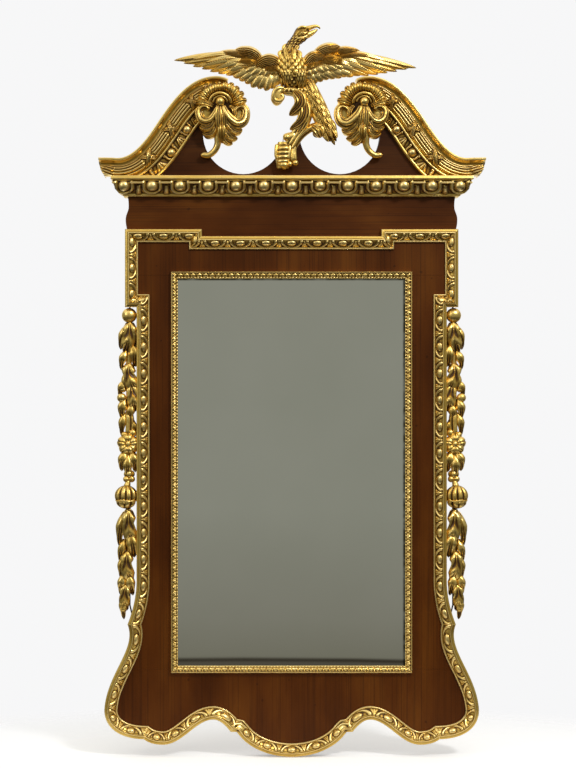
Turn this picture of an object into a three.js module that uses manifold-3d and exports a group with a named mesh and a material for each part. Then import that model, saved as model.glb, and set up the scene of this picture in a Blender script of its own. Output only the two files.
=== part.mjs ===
// A parcel-gilt wall mirror in the early Georgian architectural taste: a veneered carcase with an
// eared and scrolled outline, planted gilt mouldings, a broken swan-neck pediment with a bird on a
// scrolled perch, and a fruit-and-leaf drop down each side.
// Millimetres. Drawn in elevation: x to the viewer's right, y up from the lowest point of the apron,
// z out from the wall. The last lines turn the drawing so that +Z is up and the face looks along -Y.
import * as THREE from "three";
import { mergeVertices } from "three/addons/utils/BufferGeometryUtils.js";
import Module from "manifold-3d";

const wasm = await Module();
wasm.setup();

// ---------------------------------------------------------------- driving dimensions
const GLUE_LINE = 0.3; // clearance left between any two pieces that are glued or pinned together
const CURVE_STEPS = 8; // straight steps that stand for each curved stretch of an outline

// Glass as seen, and what holds it from behind
const SIGHT_W = 452;
const SIGHT_H = 770;
const SIGHT_BOTTOM = 180;
const SIGHT_TOP = SIGHT_BOTTOM + SIGHT_H;
const SLIP_W = 14; // width of the gilt slip
const SLIP_H = 8; // how far the slip stands off the veneer
const SLIP_LAP = 7; // how far the slip hides the edge of the glass
const GLASS = 4;
const GLASS_FIT = 0.5; // clearance round the glass in its opening
const REBATE_W = 12; // step for the backboards, cut in the back of the carcase
const BACKBOARD = 7;
const BACKBOARD_GAP = 1.5; // shrinkage gap between the backboards
const STRIP_W = 9; // the strips that hold the glass forward
const TENON_T = 8;
const TENON_W = 34;
const TENON_L = 30;
const TENON_BACK = 9.5; // from the back of the board to the tenon
const TENON_OFF = 14; // from the glass opening to the tenon
const JOINT_FIT = 0.3;

// Carcase: two stiles between a head rail and the shaped apron rail
const BOARD = 22; // thickness of the veneered boards
const EDGE_INSET = 2; // the mouldings overhang the board edges by this much
const EAR_X = 331; // half width over the ears
const HEAD_Y = SIGHT_TOP + 84; // top edge of the moulding over the middle of the head
const EAR_STEP = 14; // how much higher the moulding runs over the ears
const EAR_INNER = 178; // half distance between the two ears' inner ends
const EAR_BOTTOM = SIGHT_TOP - 57; // underside of the ears
const SIDE_X = EAR_X - 23; // half width over the straight sides
const SWELL_TOP = 350; // where the straight sides start to swell out
const SWELL = [SIDE_X + 18, 263]; // the shoulder at the foot of the swell
const HIP = [SIDE_X + 64, 93]; // widest point of the foot
const TOE = [SIDE_X - 14, 35]; // nick between the foot and the side lobe
const LOBE = [255, 24]; // lowest point of the side lobe
const ARCH = [156, 74]; // crown of the small arch beside the middle lobe
const LEDGE_X = 121; // outer end of the short level ledge
const LEDGE_RUN = 12; // length of the ledge
const LEDGE_Y = 49.5;

// Frieze and pediment board
const CARCASE_TOP = HEAD_Y - 6; // the joint under the head moulding
const CORNICE_BOTTOM = HEAD_Y + 78;
const CORNICE_H = 40;
const CORNICE_TOP = CORNICE_BOTTOM + CORNICE_H;
const CORNICE_HALF = EAR_X - 5; // half width of what the cornice is planted on
const FRIEZE_WAIST = [CORNICE_HALF - 2, CORNICE_BOTTOM - 19];
const FRIEZE_BELLY = [CORNICE_HALF + 4, CORNICE_BOTTOM - 45];
const FRIEZE_FOOT = [CORNICE_HALF + 1, CORNICE_BOTTOM - 65];
const FRIEZE_TOP = CORNICE_BOTTOM + 22; // the joint behind the cornice
const TONGUE_H = 9;
const TONGUE_T = 6;
const TONGUE_INSET = 20; // from the frieze's ends to the tongues' ends
const VOID_X = 96; // centres of the two round cut-outs
const VOID_Y = CORNICE_TOP + 86;
const VOID_R = 80;
const SPIKE_TOP = CORNICE_TOP + 70; // the post between the cut-outs, which carries the perch

// Planted outer moulding, as [distance in from the outer edge, height above the veneer]
const MOULDING_W = 26;
const MOULDING_SECTION = [
  [0, 0],
  [0, 4],
  [6, 12],
  [10, 13],
  [16, 10.5],
  [22, 4],
  [MOULDING_W, 3.5],
  [MOULDING_W, 0],
];
const MITRE_GAP = 0.4;

// Cornice, as [projection from the frieze, height above its lower edge]
const CORNICE_SECTION = [
  [0, 0],
  [3, 0],
  [8, 3],
  [18, 10],
  [25, 20],
  [26.5, 28],
  [30, 29.5],
  [32, 30],
  [32, CORNICE_H],
  [0, CORNICE_H],
];

// Swan necks: top edge of the right-hand one, then its bands as
// [distance down from the top edge, height above the pediment board]
const NECK_END = [CORNICE_HALF + 26, CORNICE_TOP + 35]; // outer end of the straight start, before the return's own projection
const NECK_MIDDLE = [CORNICE_HALF - 61, CORNICE_TOP + 105];
const NECK_CROWN = [150, CORNICE_TOP + 196];
const NECK_TIP = [NECK_CROWN[0] - 24, NECK_CROWN[1] - 6];
const CAP_W = 14;
const NECK_W = 67;
const CAP_SECTION = [
  [0, 0],
  [0, 30],
  [1, 32],
  [5, 32],
  [6, 29],
  [9, 23.5],
  [CAP_W, 21.5],
  [CAP_W, 0],
];
const NECK_SECTION = [
  [CAP_W + GLUE_LINE, 0],
  [CAP_W + GLUE_LINE, 22],
  [18, 25],
  [27, 26],
  [36, 21],
  [40, 16],
  [45, 17],
  [54, 14],
  [61, 8],
  [NECK_W, 6],
  [NECK_W, 0],
];

// Leaf rosettes at the inner ends of the swan necks
const ROSETTE = [NECK_CROWN[0] - 8, NECK_CROWN[1] - 52];
const ROSETTE_T = 26; // thickness of the leaf body
const ROSETTE_DOME = 40; // height of its middle above the board
const ROSETTE_SEAT_R = 36; // the board's round ear behind it
const NECK_STOP_R = 50; // the swan neck's carving stops at this radius from the rosette's centre

// Hanging rings
const HANGER_X = SIDE_X - 32;
const HANGER_Y = SIGHT_TOP - 110; // height of the ring's pivot
const HANGER_W = 18;
const HANGER_L = 46;
const HANGER_T = 1.5;
const RING_WIRE_R = 2;
const RING_HALF = 13; // half width of the ring, to the middle of its wire
const RING_ARM = 10; // straight part of each side
const KNUCKLE_FIT = 0.45;
const KNUCKLE_WALL = 1.5;
const SCREW_R = 1.8;
const SCREW_L = 15;
const SCREW_HEAD_R = 3.6;
const SCREW_HEAD_H = 1.6;
const SCREW_OFFSETS = [15, 34]; // of each screw above the ring's pivot

// Side drops
const DROP_X = SIDE_X + 14; // the iron wire that the carved pieces are threaded on
const DROP_Z = 14;
const DROP_WIRE_R = 1.5;
const DROP_BORE_FIT = 0.5;
const WIRE_TAIL_X = SIDE_X + 5; // the wire's lower end, cranked in to reach solid wood
const WIRE_SOCKET = 10; // how far each end is let into the stile
const DROP_BACK = 5; // flat back of the drop's leaves
const DROP_FRONT = 26;
const DROP_DRAWN = 630; // the sprays are drawn for this run from the ear to the shoulder
const DROP_STRETCH = (EAR_BOTTOM - SWELL[1]) / DROP_DRAWN;
const BALL_R = 15;
const BALL_Y = EAR_BOTTOM - 16;
const BUD_ROSETTE_Y = EAR_BOTTOM - 269 * DROP_STRETCH;
const BUD_ROSETTE_R = 18;
const GOURD_Y = EAR_BOTTOM - 378 * DROP_STRETCH;
const GOURD_R = 20.5;

const ORIGIN_Y = SIGHT_TOP + 50; // the part's origin: on the wall plane, at the middle of the head rail

// ---------------------------------------------------------------- materials
const standard = (color, roughness, metalness) =>
  new THREE.MeshStandardMaterial({ color, roughness, metalness });
const gilt = standard(0xb8913f, 0.34, 0.9);
const veneer = standard(0x4d2710, 0.3, 0);
const pine = standard(0x9a7448, 0.8, 0);
const silvered = standard(0x9a9c93, 0.05, 1);
const brass = standard(0xa98a4a, 0.4, 0.9);
const iron = standard(0x4a4640, 0.6, 0.7);

// ---------------------------------------------------------------- solids
// A three.js geometry as a solid that can be joined and cut, with its faces turned outwards.
function solid(geometry) {
  const bare = geometry.index ? geometry.toNonIndexed() : geometry.clone();
  bare.deleteAttribute("normal");
  bare.deleteAttribute("uv");
  const merged = mergeVertices(bare, 1e-4);
  const triVerts = new Uint32Array(merged.index.array);
  const at = merged.attributes.position;
  const corners = [new THREE.Vector3(), new THREE.Vector3(), new THREE.Vector3()];
  let volume = 0;
  for (let i = 0; i < triVerts.length; i += 3) {
    corners.forEach((corner, k) => corner.fromBufferAttribute(at, triVerts[i + k]));
    volume += corners[0].dot(corners[1].cross(corners[2]));
  }
  if (volume < 0) triVerts.reverse();
  return new wasm.Manifold(
    new wasm.Mesh({ numProp: 3, vertProperties: at.array, triVerts }),
  );
}

function geometryOf(manifold) {
  const mesh = manifold.getMesh();
  const geometry = new THREE.BufferGeometry();
  geometry.setAttribute("position", new THREE.BufferAttribute(mesh.vertProperties, 3));
  geometry.setIndex(new THREE.BufferAttribute(mesh.triVerts, 1));
  geometry.computeVertexNormals();
  return geometry;
}

function box(x0, x1, y0, y1, z0, z1) {
  const geometry = new THREE.BoxGeometry(x1 - x0, y1 - y0, z1 - z0);
  return solid(geometry.translate((x0 + x1) / 2, (y0 + y1) / 2, (z0 + z1) / 2));
}

// A flat outline given thickness from z0 to z1. bevel eases its front and back edges.
function board(outline, z0, z1, bevel = 0) {
  const shape = outline instanceof THREE.Shape ? outline : new THREE.Shape(outline);
  const geometry = new THREE.ExtrudeGeometry(shape, {
    depth: z1 - z0 - 2 * bevel,
    bevelEnabled: bevel > 0,
    bevelThickness: bevel,
    bevelSize: bevel,
    bevelOffset: -bevel,
    bevelSegments: 1,
    curveSegments: 12,
    steps: 1,
  });
  return solid(geometry.translate(0, 0, z0 + bevel));
}

// A round bar along x, y or z, or a disc.
function rod(radius, from, to, sides = 12) {
  const start = new THREE.Vector3(...from);
  const along = new THREE.Vector3(...to).sub(start);
  const geometry = new THREE.CylinderGeometry(radius, radius, along.length(), sides);
  const turn = new THREE.Quaternion().setFromUnitVectors(
    new THREE.Vector3(0, 1, 0),
    along.clone().normalize(),
  );
  geometry.applyQuaternion(turn);
  const middle = start.add(along.multiplyScalar(0.5));
  return solid(geometry.translate(middle.x, middle.y, middle.z));
}

// Joins equal rings of points into one closed body. section is the flat outline the rings share.
function loft(rings, section) {
  const count = section.length;
  const faces = THREE.ShapeUtils.triangulateShape(section, []);
  if (THREE.ShapeUtils.isClockWise(section)) faces.forEach((face) => face.reverse());
  const last = (rings.length - 1) * count;
  const index = [];
  faces.forEach(([a, b, c]) => index.push(a, c, b, last + a, last + b, last + c));
  for (let r = 0; r < rings.length - 1; r++) {
    for (let k = 0; k < count; k++) {
      const a = r * count + k;
      const b = r * count + ((k + 1) % count);
      index.push(a, b, b + count, a, b + count, a + count);
    }
  }
  const positions = rings.flat().flatMap((point) => [point.x, point.y, point.z]);
  const geometry = new THREE.BufferGeometry();
  geometry.setAttribute("position", new THREE.Float32BufferAttribute(positions, 3));
  geometry.setIndex(index);
  return solid(geometry);
}

const flat = (pairs) => pairs.map(([a, b]) => new THREE.Vector2(a, b));

// A tapering round limb through points [x, y, z, radius]; flatten squeezes it front to back and
// grow makes it fatter and longer by that much.
function limb(points, { sides = 8, steps = 10, flatten = 1, grow = 0 } = {}) {
  const centres = new THREE.CatmullRomCurve3(
    points.map(([x, y, z]) => new THREE.Vector3(x, y, z)),
  );
  const radii = new THREE.SplineCurve(points.map((p, i) => new THREE.Vector2(i, p[3])));
  const circle = [];
  for (let k = 0; k < sides; k++) {
    const angle = (2 * Math.PI * k) / sides;
    circle.push(new THREE.Vector2(Math.cos(angle), Math.sin(angle)));
  }
  const rings = [];
  for (let i = 0; i <= steps; i++) {
    const t = i / steps;
    const centre = centres.getPoint(t);
    const radius = radii.getPoint(t).y + grow;
    const along = centres.getTangent(t);
    if (i === 0) centre.addScaledVector(along, -grow);
    if (i === steps) centre.addScaledVector(along, grow);
    const side = new THREE.Vector3(-along.y, along.x, 0).normalize();
    const front = new THREE.Vector3().crossVectors(along, side).multiplyScalar(flatten);
    rings.push(
      circle.map((c) =>
        centre
          .clone()
          .addScaledVector(side, c.x * radius)
          .addScaledVector(front, c.y * radius),
      ),
    );
  }
  return loft(rings, circle);
}

const joined = (solids) => solids.reduce((all, next) => all.add(next));

// Points of a drawn path, with each curve in equal steps and each straight as its two ends.
function pointsOf(path) {
  const points = [path.curves[0].getPoint(0)];
  for (const curve of path.curves) {
    const steps = curve.isLineCurve ? 1 : CURVE_STEPS;
    for (let i = 1; i <= steps; i++) points.push(curve.getPoint(i / steps));
  }
  return points;
}

// The direction in from each point of an edge, lengthened at a corner so that offsets mitre.
// The edge runs clockwise, so that the wood lies on its right.
function inwardOf(points, closed) {
  const normal = (a, b) => {
    const d = b.clone().sub(a).normalize();
    return new THREE.Vector2(d.y, -d.x);
  };
  return points.map((point, i) => {
    const open = !closed && (i === 0 || i === points.length - 1);
    const before = points[(i + points.length - 1) % points.length];
    const after = points[(i + 1) % points.length];
    if (open) return i === 0 ? normal(point, after) : normal(before, point);
    const n1 = normal(before, point);
    const n2 = normal(point, after);
    return n1.clone().add(n2).divideScalar(1 + n1.dot(n2));
  });
}

const offset = (points, inward, distance) =>
  points.map((point, i) => point.clone().addScaledVector(inward[i], distance));

// What lies beyond the mitre at a corner, to be cut off a run that leaves the corner along leaving.
function beyondMitre(corner, mitre, leaving, reach) {
  const normal = new THREE.Vector2(mitre.y, -mitre.x);
  if (normal.dot(leaving) > 0) normal.negate();
  const geometry = new THREE.BoxGeometry(reach, 3 * reach, 3 * reach)
    .translate((reach - MITRE_GAP) / 2, 0, 0)
    .rotateZ(normal.angle())
    .translate(corner.x, corner.y, 0);
  return solid(geometry);
}

// One length of planted moulding between two corners of a closed edge, standing on z = base.
// It is made over-long and then cut to the mitres.
function mouldingRun(edge, first, last, section, base) {
  const spare = 1.5 * Math.max(...section.map(([u]) => u));
  const mitres = inwardOf(edge, true);
  const at = (list, i) => list[(i + list.length) % list.length];
  const points = [];
  for (let i = first; i <= last; i++) points.push(at(edge, i));
  const start = points[0];
  const end = points[points.length - 1];
  const leavingStart = points[1].clone().sub(start).normalize();
  const leavingEnd = points[points.length - 2].clone().sub(end).normalize();
  points[0] = start.clone().addScaledVector(leavingStart, -spare);
  points[points.length - 1] = end.clone().addScaledVector(leavingEnd, -spare);
  const inward = inwardOf(points, false);
  const rings = points.map((point, i) =>
    section.map(([u, h]) => {
      const over = point.clone().addScaledVector(inward[i], u);
      return new THREE.Vector3(over.x, over.y, base + h);
    }),
  );
  return loft(rings, flat(section))
    .subtract(beyondMitre(start, at(mitres, first), leavingStart, 3 * spare))
    .subtract(beyondMitre(end, at(mitres, last), leavingEnd, 3 * spare));
}

// ---------------------------------------------------------------- the assembly
const drawing = new THREE.Group();

function place(name, made, material) {
  const mesh = new THREE.Mesh(geometryOf(made), material);
  mesh.name = name;
  drawing.add(mesh);
  return mesh;
}

// A right-hand piece and its mirror image on the left.
function placePair(name, made, material) {
  place(`${name}_right`, made, material);
  place(`${name}_left`, made, material).scale.x = -1;
}

// ---------------------------------------------------------------- outer edge of the frame
// The right half, clockwise from the middle of the head to the middle of the apron, by lengths of
// moulding: each name starts a new length at a mitre.
const ledgeEnd = [LEDGE_X - LEDGE_RUN, LEDGE_Y];
const edgeLengths = {
  head: new THREE.Path().moveTo(0, HEAD_Y).lineTo(EAR_INNER, HEAD_Y),
  ear_top: new THREE.Path()
    .moveTo(EAR_INNER, HEAD_Y)
    .lineTo(EAR_INNER, HEAD_Y + EAR_STEP)
    .lineTo(EAR_X, HEAD_Y + EAR_STEP),
  ear_side: new THREE.Path()
    .moveTo(EAR_X, HEAD_Y + EAR_STEP)
    .lineTo(EAR_X, EAR_BOTTOM)
    .lineTo(SIDE_X, EAR_BOTTOM),
  side: new THREE.Path()
    .moveTo(SIDE_X, EAR_BOTTOM)
    .lineTo(SIDE_X, SWELL_TOP)
    .bezierCurveTo(SIDE_X, SWELL_TOP - 35, SWELL[0] - 8, SWELL[1] + 20, ...SWELL),
  foot: new THREE.Path()
    .moveTo(...SWELL)
    .bezierCurveTo(SWELL[0] - 20, SWELL[1] - 48, HIP[0] - 4, HIP[1] + 72, ...HIP)
    .bezierCurveTo(HIP[0], HIP[1] - 33, TOE[0] + 51, TOE[1] + 1, ...TOE),
  lobe: new THREE.Path()
    .moveTo(...TOE)
    .bezierCurveTo(TOE[0] - 11, TOE[1] - 8, LOBE[0] + 15, LOBE[1], ...LOBE)
    .bezierCurveTo(LOBE[0] - 38, LOBE[1], ARCH[0] + 34, ARCH[1], ...ARCH)
    .bezierCurveTo(ARCH[0] - 14, ARCH[1], LEDGE_X + 10, LEDGE_Y + 12.5, LEDGE_X, LEDGE_Y),
  apron: new THREE.Path()
    .moveTo(LEDGE_X, LEDGE_Y)
    .lineTo(...ledgeEnd)
    .bezierCurveTo(ledgeEnd[0] - 19, LEDGE_Y - 29.5, 48, 0, 0, 0),
};
const rightEdge = [];
const lengthStart = {};
for (const [name, path] of Object.entries(edgeLengths)) {
  const points = pointsOf(path);
  if (rightEdge.length) points.shift();
  lengthStart[name] = Math.max(rightEdge.length - 1, 0);
  rightEdge.push(...points);
}
const apronMiddle = rightEdge.length - 1;
const leftEdge = rightEdge
  .slice(1, -1)
  .reverse()
  .map((point) => new THREE.Vector2(-point.x, point.y));
const edge = [...rightEdge, ...leftEdge];

// ---------------------------------------------------------------- carcase
const openHalf = SIGHT_W / 2 + SLIP_LAP;
const openBottom = SIGHT_BOTTOM - SLIP_LAP;
const openTop = SIGHT_TOP + SLIP_LAP;
const FAR = 2000; // beyond the object in every direction
const carcaseOutline = offset(edge, inwardOf(edge, true), EDGE_INSET).map(
  (point) => new THREE.Vector2(point.x, Math.min(point.y, CARCASE_TOP)),
);
const carcase = board(carcaseOutline, 0, BOARD).subtract(
  box(
    -openHalf - REBATE_W,
    openHalf + REBATE_W,
    openBottom - REBATE_W,
    openTop + REBATE_W,
    -1,
    BACKBOARD + GLUE_LINE,
  ),
);

// The iron wire of a side drop, or with extra radius the hole that it sits in.
function dropWire(extra = 0) {
  const radius = DROP_WIRE_R + extra;
  const top = EAR_BOTTOM + EDGE_INSET + WIRE_SOCKET;
  const tail = SWELL[1] - WIRE_SOCKET;
  return joined([
    rod(radius, [DROP_X, SWELL[1] + 36, DROP_Z], [DROP_X, top + extra, DROP_Z], 8),
    limb(
      [
        [DROP_X, SWELL[1] + 37, DROP_Z, radius],
        [DROP_X - 3, SWELL[1] + 24, DROP_Z, radius],
        [WIRE_TAIL_X + 2, SWELL[1] + 8, DROP_Z, radius],
        [WIRE_TAIL_X, tail - extra, DROP_Z, radius],
      ],
      { sides: 8, steps: 6 },
    ),
  ]);
}
const dropBore = dropWire(DROP_BORE_FIT);

const tenonX0 = openHalf + TENON_OFF;
const tenon = (fit) =>
  box(
    tenonX0 - fit,
    tenonX0 + TENON_W + fit,
    openBottom - TENON_L - fit,
    openTop + TENON_L + fit,
    TENON_BACK - fit,
    TENON_BACK + TENON_T + fit,
  );
const stileZone = box(
  openHalf,
  FAR,
  openBottom + GLUE_LINE,
  openTop - GLUE_LINE,
  -FAR,
  FAR,
);
const plateBack = -GLUE_LINE - HANGER_T;
const screwBore = joined(
  SCREW_OFFSETS.map((up) =>
    rod(
      SCREW_R + JOINT_FIT,
      [HANGER_X, HANGER_Y + up, plateBack - 1],
      [HANGER_X, HANGER_Y + up, SCREW_L + 1],
      8,
    ),
  ),
);
const stile = carcase
  .intersect(stileZone)
  .add(tenon(0))
  .subtract(dropBore)
  .subtract(screwBore);
placePair("stile", stile, veneer);

const mirrorX = (made) => made.mirror([1, 0, 0]);
const mortises = joined([tenon(JOINT_FIT), mirrorX(tenon(JOINT_FIT))]);
const tongue = (half, bottom, fit) =>
  box(
    -half - fit,
    half + fit,
    bottom - TONGUE_H - fit,
    bottom + fit,
    (BOARD - TONGUE_T) / 2 - fit,
    (BOARD + TONGUE_T) / 2 + fit,
  );
const headTongueHalf = FRIEZE_FOOT[0] - TONGUE_INSET;
const pedimentTongueHalf = CORNICE_HALF - TONGUE_INSET;
place(
  "head_rail",
  carcase
    .intersect(box(-FAR, FAR, openTop, FAR, -FAR, FAR))
    .subtract(mortises)
    .subtract(dropBore)
    .subtract(mirrorX(dropBore))
    .subtract(tongue(headTongueHalf, CARCASE_TOP, JOINT_FIT)),
  veneer,
);
place(
  "apron_rail",
  carcase.intersect(box(-FAR, FAR, -FAR, openBottom, -FAR, FAR)).subtract(mortises),
  veneer,
);

// ---------------------------------------------------------------- frieze and pediment board
const friezeSide = new THREE.Path()
  .moveTo(CORNICE_HALF, FRIEZE_TOP)
  .lineTo(CORNICE_HALF, CORNICE_BOTTOM)
  .bezierCurveTo(
    FRIEZE_WAIST[0],
    CORNICE_BOTTOM - 6,
    FRIEZE_WAIST[0],
    FRIEZE_WAIST[1] + 6,
    ...FRIEZE_WAIST,
  )
  .bezierCurveTo(
    FRIEZE_WAIST[0],
    FRIEZE_WAIST[1] - 10,
    FRIEZE_BELLY[0],
    FRIEZE_BELLY[1] + 12,
    ...FRIEZE_BELLY,
  )
  .bezierCurveTo(FRIEZE_BELLY[0], FRIEZE_BELLY[1] - 10, ...FRIEZE_FOOT, ...FRIEZE_FOOT)
  .lineTo(FRIEZE_FOOT[0], CARCASE_TOP + GLUE_LINE);
const friezeRight = pointsOf(friezeSide);
const friezeOutline = [
  ...friezeRight,
  ...friezeRight
    .slice()
    .reverse()
    .map((point) => new THREE.Vector2(-point.x, point.y)),
];
place(
  "frieze_board",
  board(friezeOutline, 0, BOARD)
    .add(tongue(headTongueHalf, CARCASE_TOP + GLUE_LINE + 1, 0))
    .subtract(tongue(pedimentTongueHalf, FRIEZE_TOP, JOINT_FIT)),
  veneer,
);

const neckPath = new THREE.Path()
  .moveTo(...NECK_END)
  .bezierCurveTo(
    NECK_END[0] - 32,
    NECK_END[1] - 6,
    NECK_MIDDLE[0] + 28,
    NECK_MIDDLE[1] - 43,
    ...NECK_MIDDLE,
  )
  .bezierCurveTo(
    NECK_MIDDLE[0] - 29,
    NECK_MIDDLE[1] + 44,
    NECK_CROWN[0] + 52,
    NECK_CROWN[1],
    ...NECK_CROWN,
  )
  .bezierCurveTo(
    NECK_CROWN[0] - 9,
    NECK_CROWN[1],
    NECK_TIP[0] + 7,
    NECK_TIP[1] + 4,
    ...NECK_TIP,
  );
const neckEdge = pointsOf(neckPath).reverse(); // clockwise: from the crown down to the outer end
const neckInward = inwardOf(neckEdge, false);
neckInward[neckEdge.length - 1].set(0, -1);

const NECK_BACKING = 22; // the board stops this far under the swan neck's top edge
const backing = offset(neckEdge, neckInward, NECK_BACKING).filter(
  (point) => point.x >= ROSETTE[0],
);
const pedimentRight = [
  ...backing,
  new THREE.Vector2(CORNICE_HALF, CORNICE_TOP + 6),
  new THREE.Vector2(CORNICE_HALF, FRIEZE_TOP + GLUE_LINE),
];
const pedimentOutline = [
  new THREE.Vector2(0, SPIKE_TOP),
  new THREE.Vector2(VOID_X - VOID_R, SPIKE_TOP),
  new THREE.Vector2(VOID_X - VOID_R, VOID_Y),
  new THREE.Vector2(VOID_X + VOID_R, VOID_Y),
  new THREE.Vector2(VOID_X + VOID_R, ROSETTE[1]),
  new THREE.Vector2(ROSETTE[0], ROSETTE[1]),
  ...pedimentRight,
];
const pedimentWhole = [
  ...pedimentOutline,
  ...pedimentOutline
    .slice(1)
    .reverse()
    .map((point) => new THREE.Vector2(-point.x, point.y)),
];
const voidHole = rod(VOID_R, [VOID_X, VOID_Y, -1], [VOID_X, VOID_Y, BOARD + 1], 48);
const rosetteSeat = rod(ROSETTE_SEAT_R, [...ROSETTE, 0], [...ROSETTE, BOARD], 24);
const spike = box(
  -(VOID_X - VOID_R),
  VOID_X - VOID_R,
  FRIEZE_TOP + 20,
  SPIKE_TOP,
  0,
  BOARD,
);
place(
  "pediment_board",
  board(pedimentWhole, 0, BOARD)
    .subtract(voidHole)
    .subtract(mirrorX(voidHole))
    .add(spike)
    .add(rosetteSeat)
    .add(mirrorX(rosetteSeat))
    .add(tongue(pedimentTongueHalf, FRIEZE_TOP + GLUE_LINE + 1, 0)),
  veneer,
);

// ---------------------------------------------------------------- outer moulding
const front = BOARD + GLUE_LINE;
const runBetween = (first, last) =>
  mouldingRun(edge, first, last, MOULDING_SECTION, front);
place("head_moulding", runBetween(-lengthStart.ear_top, lengthStart.ear_top), gilt);
const names = Object.keys(edgeLengths);
for (const name of ["ear_top", "ear_side", "side", "foot", "lobe"]) {
  const next = names[names.indexOf(name) + 1];
  placePair(
    `${name}_moulding`,
    runBetween(lengthStart[name], lengthStart[next]),
    gilt,
  );
}
place(
  "apron_moulding",
  runBetween(lengthStart.apron, 2 * apronMiddle - lengthStart.apron),
  gilt,
);

// ---------------------------------------------------------------- glass and slip
const slipHalf = SIGHT_W / 2 + SLIP_W;
const slipBottom = SIGHT_BOTTOM - SLIP_W;
const slipTop = SIGHT_TOP + SLIP_W;
const SLIP_SECTION = [
  [0, 0],
  [0, 5],
  [1.5, SLIP_H],
  [3.5, SLIP_H],
  [8, 6.5],
  [12, 3],
  [SLIP_W, 2.5],
  [SLIP_W, 0],
];
const slipCorners = flat([
  [-slipHalf, slipTop],
  [slipHalf, slipTop],
  [slipHalf, slipBottom],
  [-slipHalf, slipBottom],
]);
["top", "right", "bottom", "left"].forEach((side, i) => {
  place(`slip_${side}`, mouldingRun(slipCorners, i, i + 1, SLIP_SECTION, front), gilt);
});
const glassFront = BOARD;
const glassBack = glassFront - GLASS;
place(
  "mirror_glass",
  box(
    -openHalf + GLASS_FIT,
    openHalf - GLASS_FIT,
    openBottom + GLASS_FIT,
    openTop - GLASS_FIT,
    glassBack,
    glassFront,
  ),
  silvered,
);
placePair(
  "glazing_strip",
  box(
    openHalf - GLASS_FIT - STRIP_W,
    openHalf - GLASS_FIT,
    openBottom + 20,
    openTop - 20,
    BACKBOARD + 2 * GLUE_LINE,
    glassBack - GLUE_LINE,
  ),
  pine,
);
placePair(
  "backboard",
  box(
    BACKBOARD_GAP / 2,
    openHalf + REBATE_W - GLASS_FIT,
    openBottom - REBATE_W + GLASS_FIT,
    openTop + REBATE_W - GLASS_FIT,
    0,
    BACKBOARD,
  ),
  pine,
);

// ---------------------------------------------------------------- cornice
const corniceRing = (x, side, z, mitre) =>
  CORNICE_SECTION.map(
    ([out, up]) =>
      new THREE.Vector3(
        x + side * (out + GLUE_LINE),
        CORNICE_BOTTOM + up,
        z + (mitre ? out + GLUE_LINE : 0),
      ),
  );
const corniceSection = flat(CORNICE_SECTION);
place(
  "cornice_front",
  loft(
    [
      corniceRing(-CORNICE_HALF, -1, BOARD, true),
      corniceRing(CORNICE_HALF, 1, BOARD, true),
    ],
    corniceSection,
  ),
  gilt,
);
placePair(
  "cornice_return",
  loft(
    [
      corniceRing(CORNICE_HALF, 1, BOARD - MITRE_GAP, true),
      corniceRing(CORNICE_HALF, 1, 0, false),
    ],
    corniceSection,
  ),
  gilt,
);

// ---------------------------------------------------------------- swan necks and rosettes
// One band of the swan neck, with a mitred return to the wall at its outer end.
function neckBand(section) {
  const rings = neckEdge.map((point, i) =>
    section.map(([u, h]) => {
      const at = point.clone().addScaledVector(neckInward[i], u);
      const out = i === neckEdge.length - 1 ? h : 0;
      return new THREE.Vector3(at.x + out, at.y, front + h);
    }),
  );
  const [endX, endY] = NECK_END;
  rings.push(section.map(([u, h]) => new THREE.Vector3(endX + h, endY - u, 0)));
  const aboveCornice = box(-FAR, FAR, CORNICE_TOP + GLUE_LINE, FAR, -FAR, FAR);
  return loft(rings, flat(section)).intersect(aboveCornice);
}
const boardBehind = box(0, NECK_END[0] + GLUE_LINE, 0, FAR, -1, front);
placePair("swan_neck_cap", neckBand(CAP_SECTION).subtract(boardBehind), gilt);
const rosetteStop = rod(
  NECK_STOP_R,
  [...ROSETTE, front - 1],
  [...ROSETTE, front + 60],
  24,
);
placePair(
  "swan_neck",
  neckBand(NECK_SECTION).subtract(boardBehind).subtract(rosetteStop),
  gilt,
);

// The rosette's leafy outline, clockwise from the top, as offsets from its centre.
const ROSETTE_OUTLINE = [
  [-8, 33],
  [-24, 34],
  [-40, 22],
  [-50, 7],
  [-57, -14],
  [-54, -34],
  [-41, -60],
  [-22, -74],
  [-6, -82],
  [12, -62],
  [30, -40],
  [40, -20],
  [40, 4],
  [30, 22],
  [14, 32],
];
const rosetteShape = new THREE.Shape(
  new THREE.SplineCurve(
    flat([...ROSETTE_OUTLINE, ROSETTE_OUTLINE[0]]).map((p) =>
      p.add(new THREE.Vector2(...ROSETTE)),
    ),
  )
    .getPoints(30)
    .slice(0, -1),
);
const domeProfile = flat([
  [0, 0],
  [32, 0],
  [28, 12],
  [18, ROSETTE_DOME - ROSETTE_T],
  [0, ROSETTE_DOME - ROSETTE_T + 4],
]);
const dome = solid(
  new THREE.LatheGeometry(domeProfile, 16)
    .rotateX(Math.PI / 2)
    .translate(...ROSETTE, front + ROSETTE_T - 1),
);
const tendril = limb(
  [
    [ROSETTE[0] - 6, ROSETTE[1] - 58, front + 12, 7],
    [ROSETTE[0] - 2, ROSETTE[1] - 76, front + 12, 6],
    [ROSETTE[0] + 6, ROSETTE[1] - 91, front + 11, 5.5],
    [ROSETTE[0] + 18, ROSETTE[1] - 101, front + 9, 5.5],
    [ROSETTE[0] + 33, ROSETTE[1] - 103, front + 9, 4],
  ],
  { steps: 9 },
);
placePair(
  "leaf_rosette",
  board(rosetteShape, front, front + ROSETTE_T, 4).add(dome).add(tendril),
  gilt,
);

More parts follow.
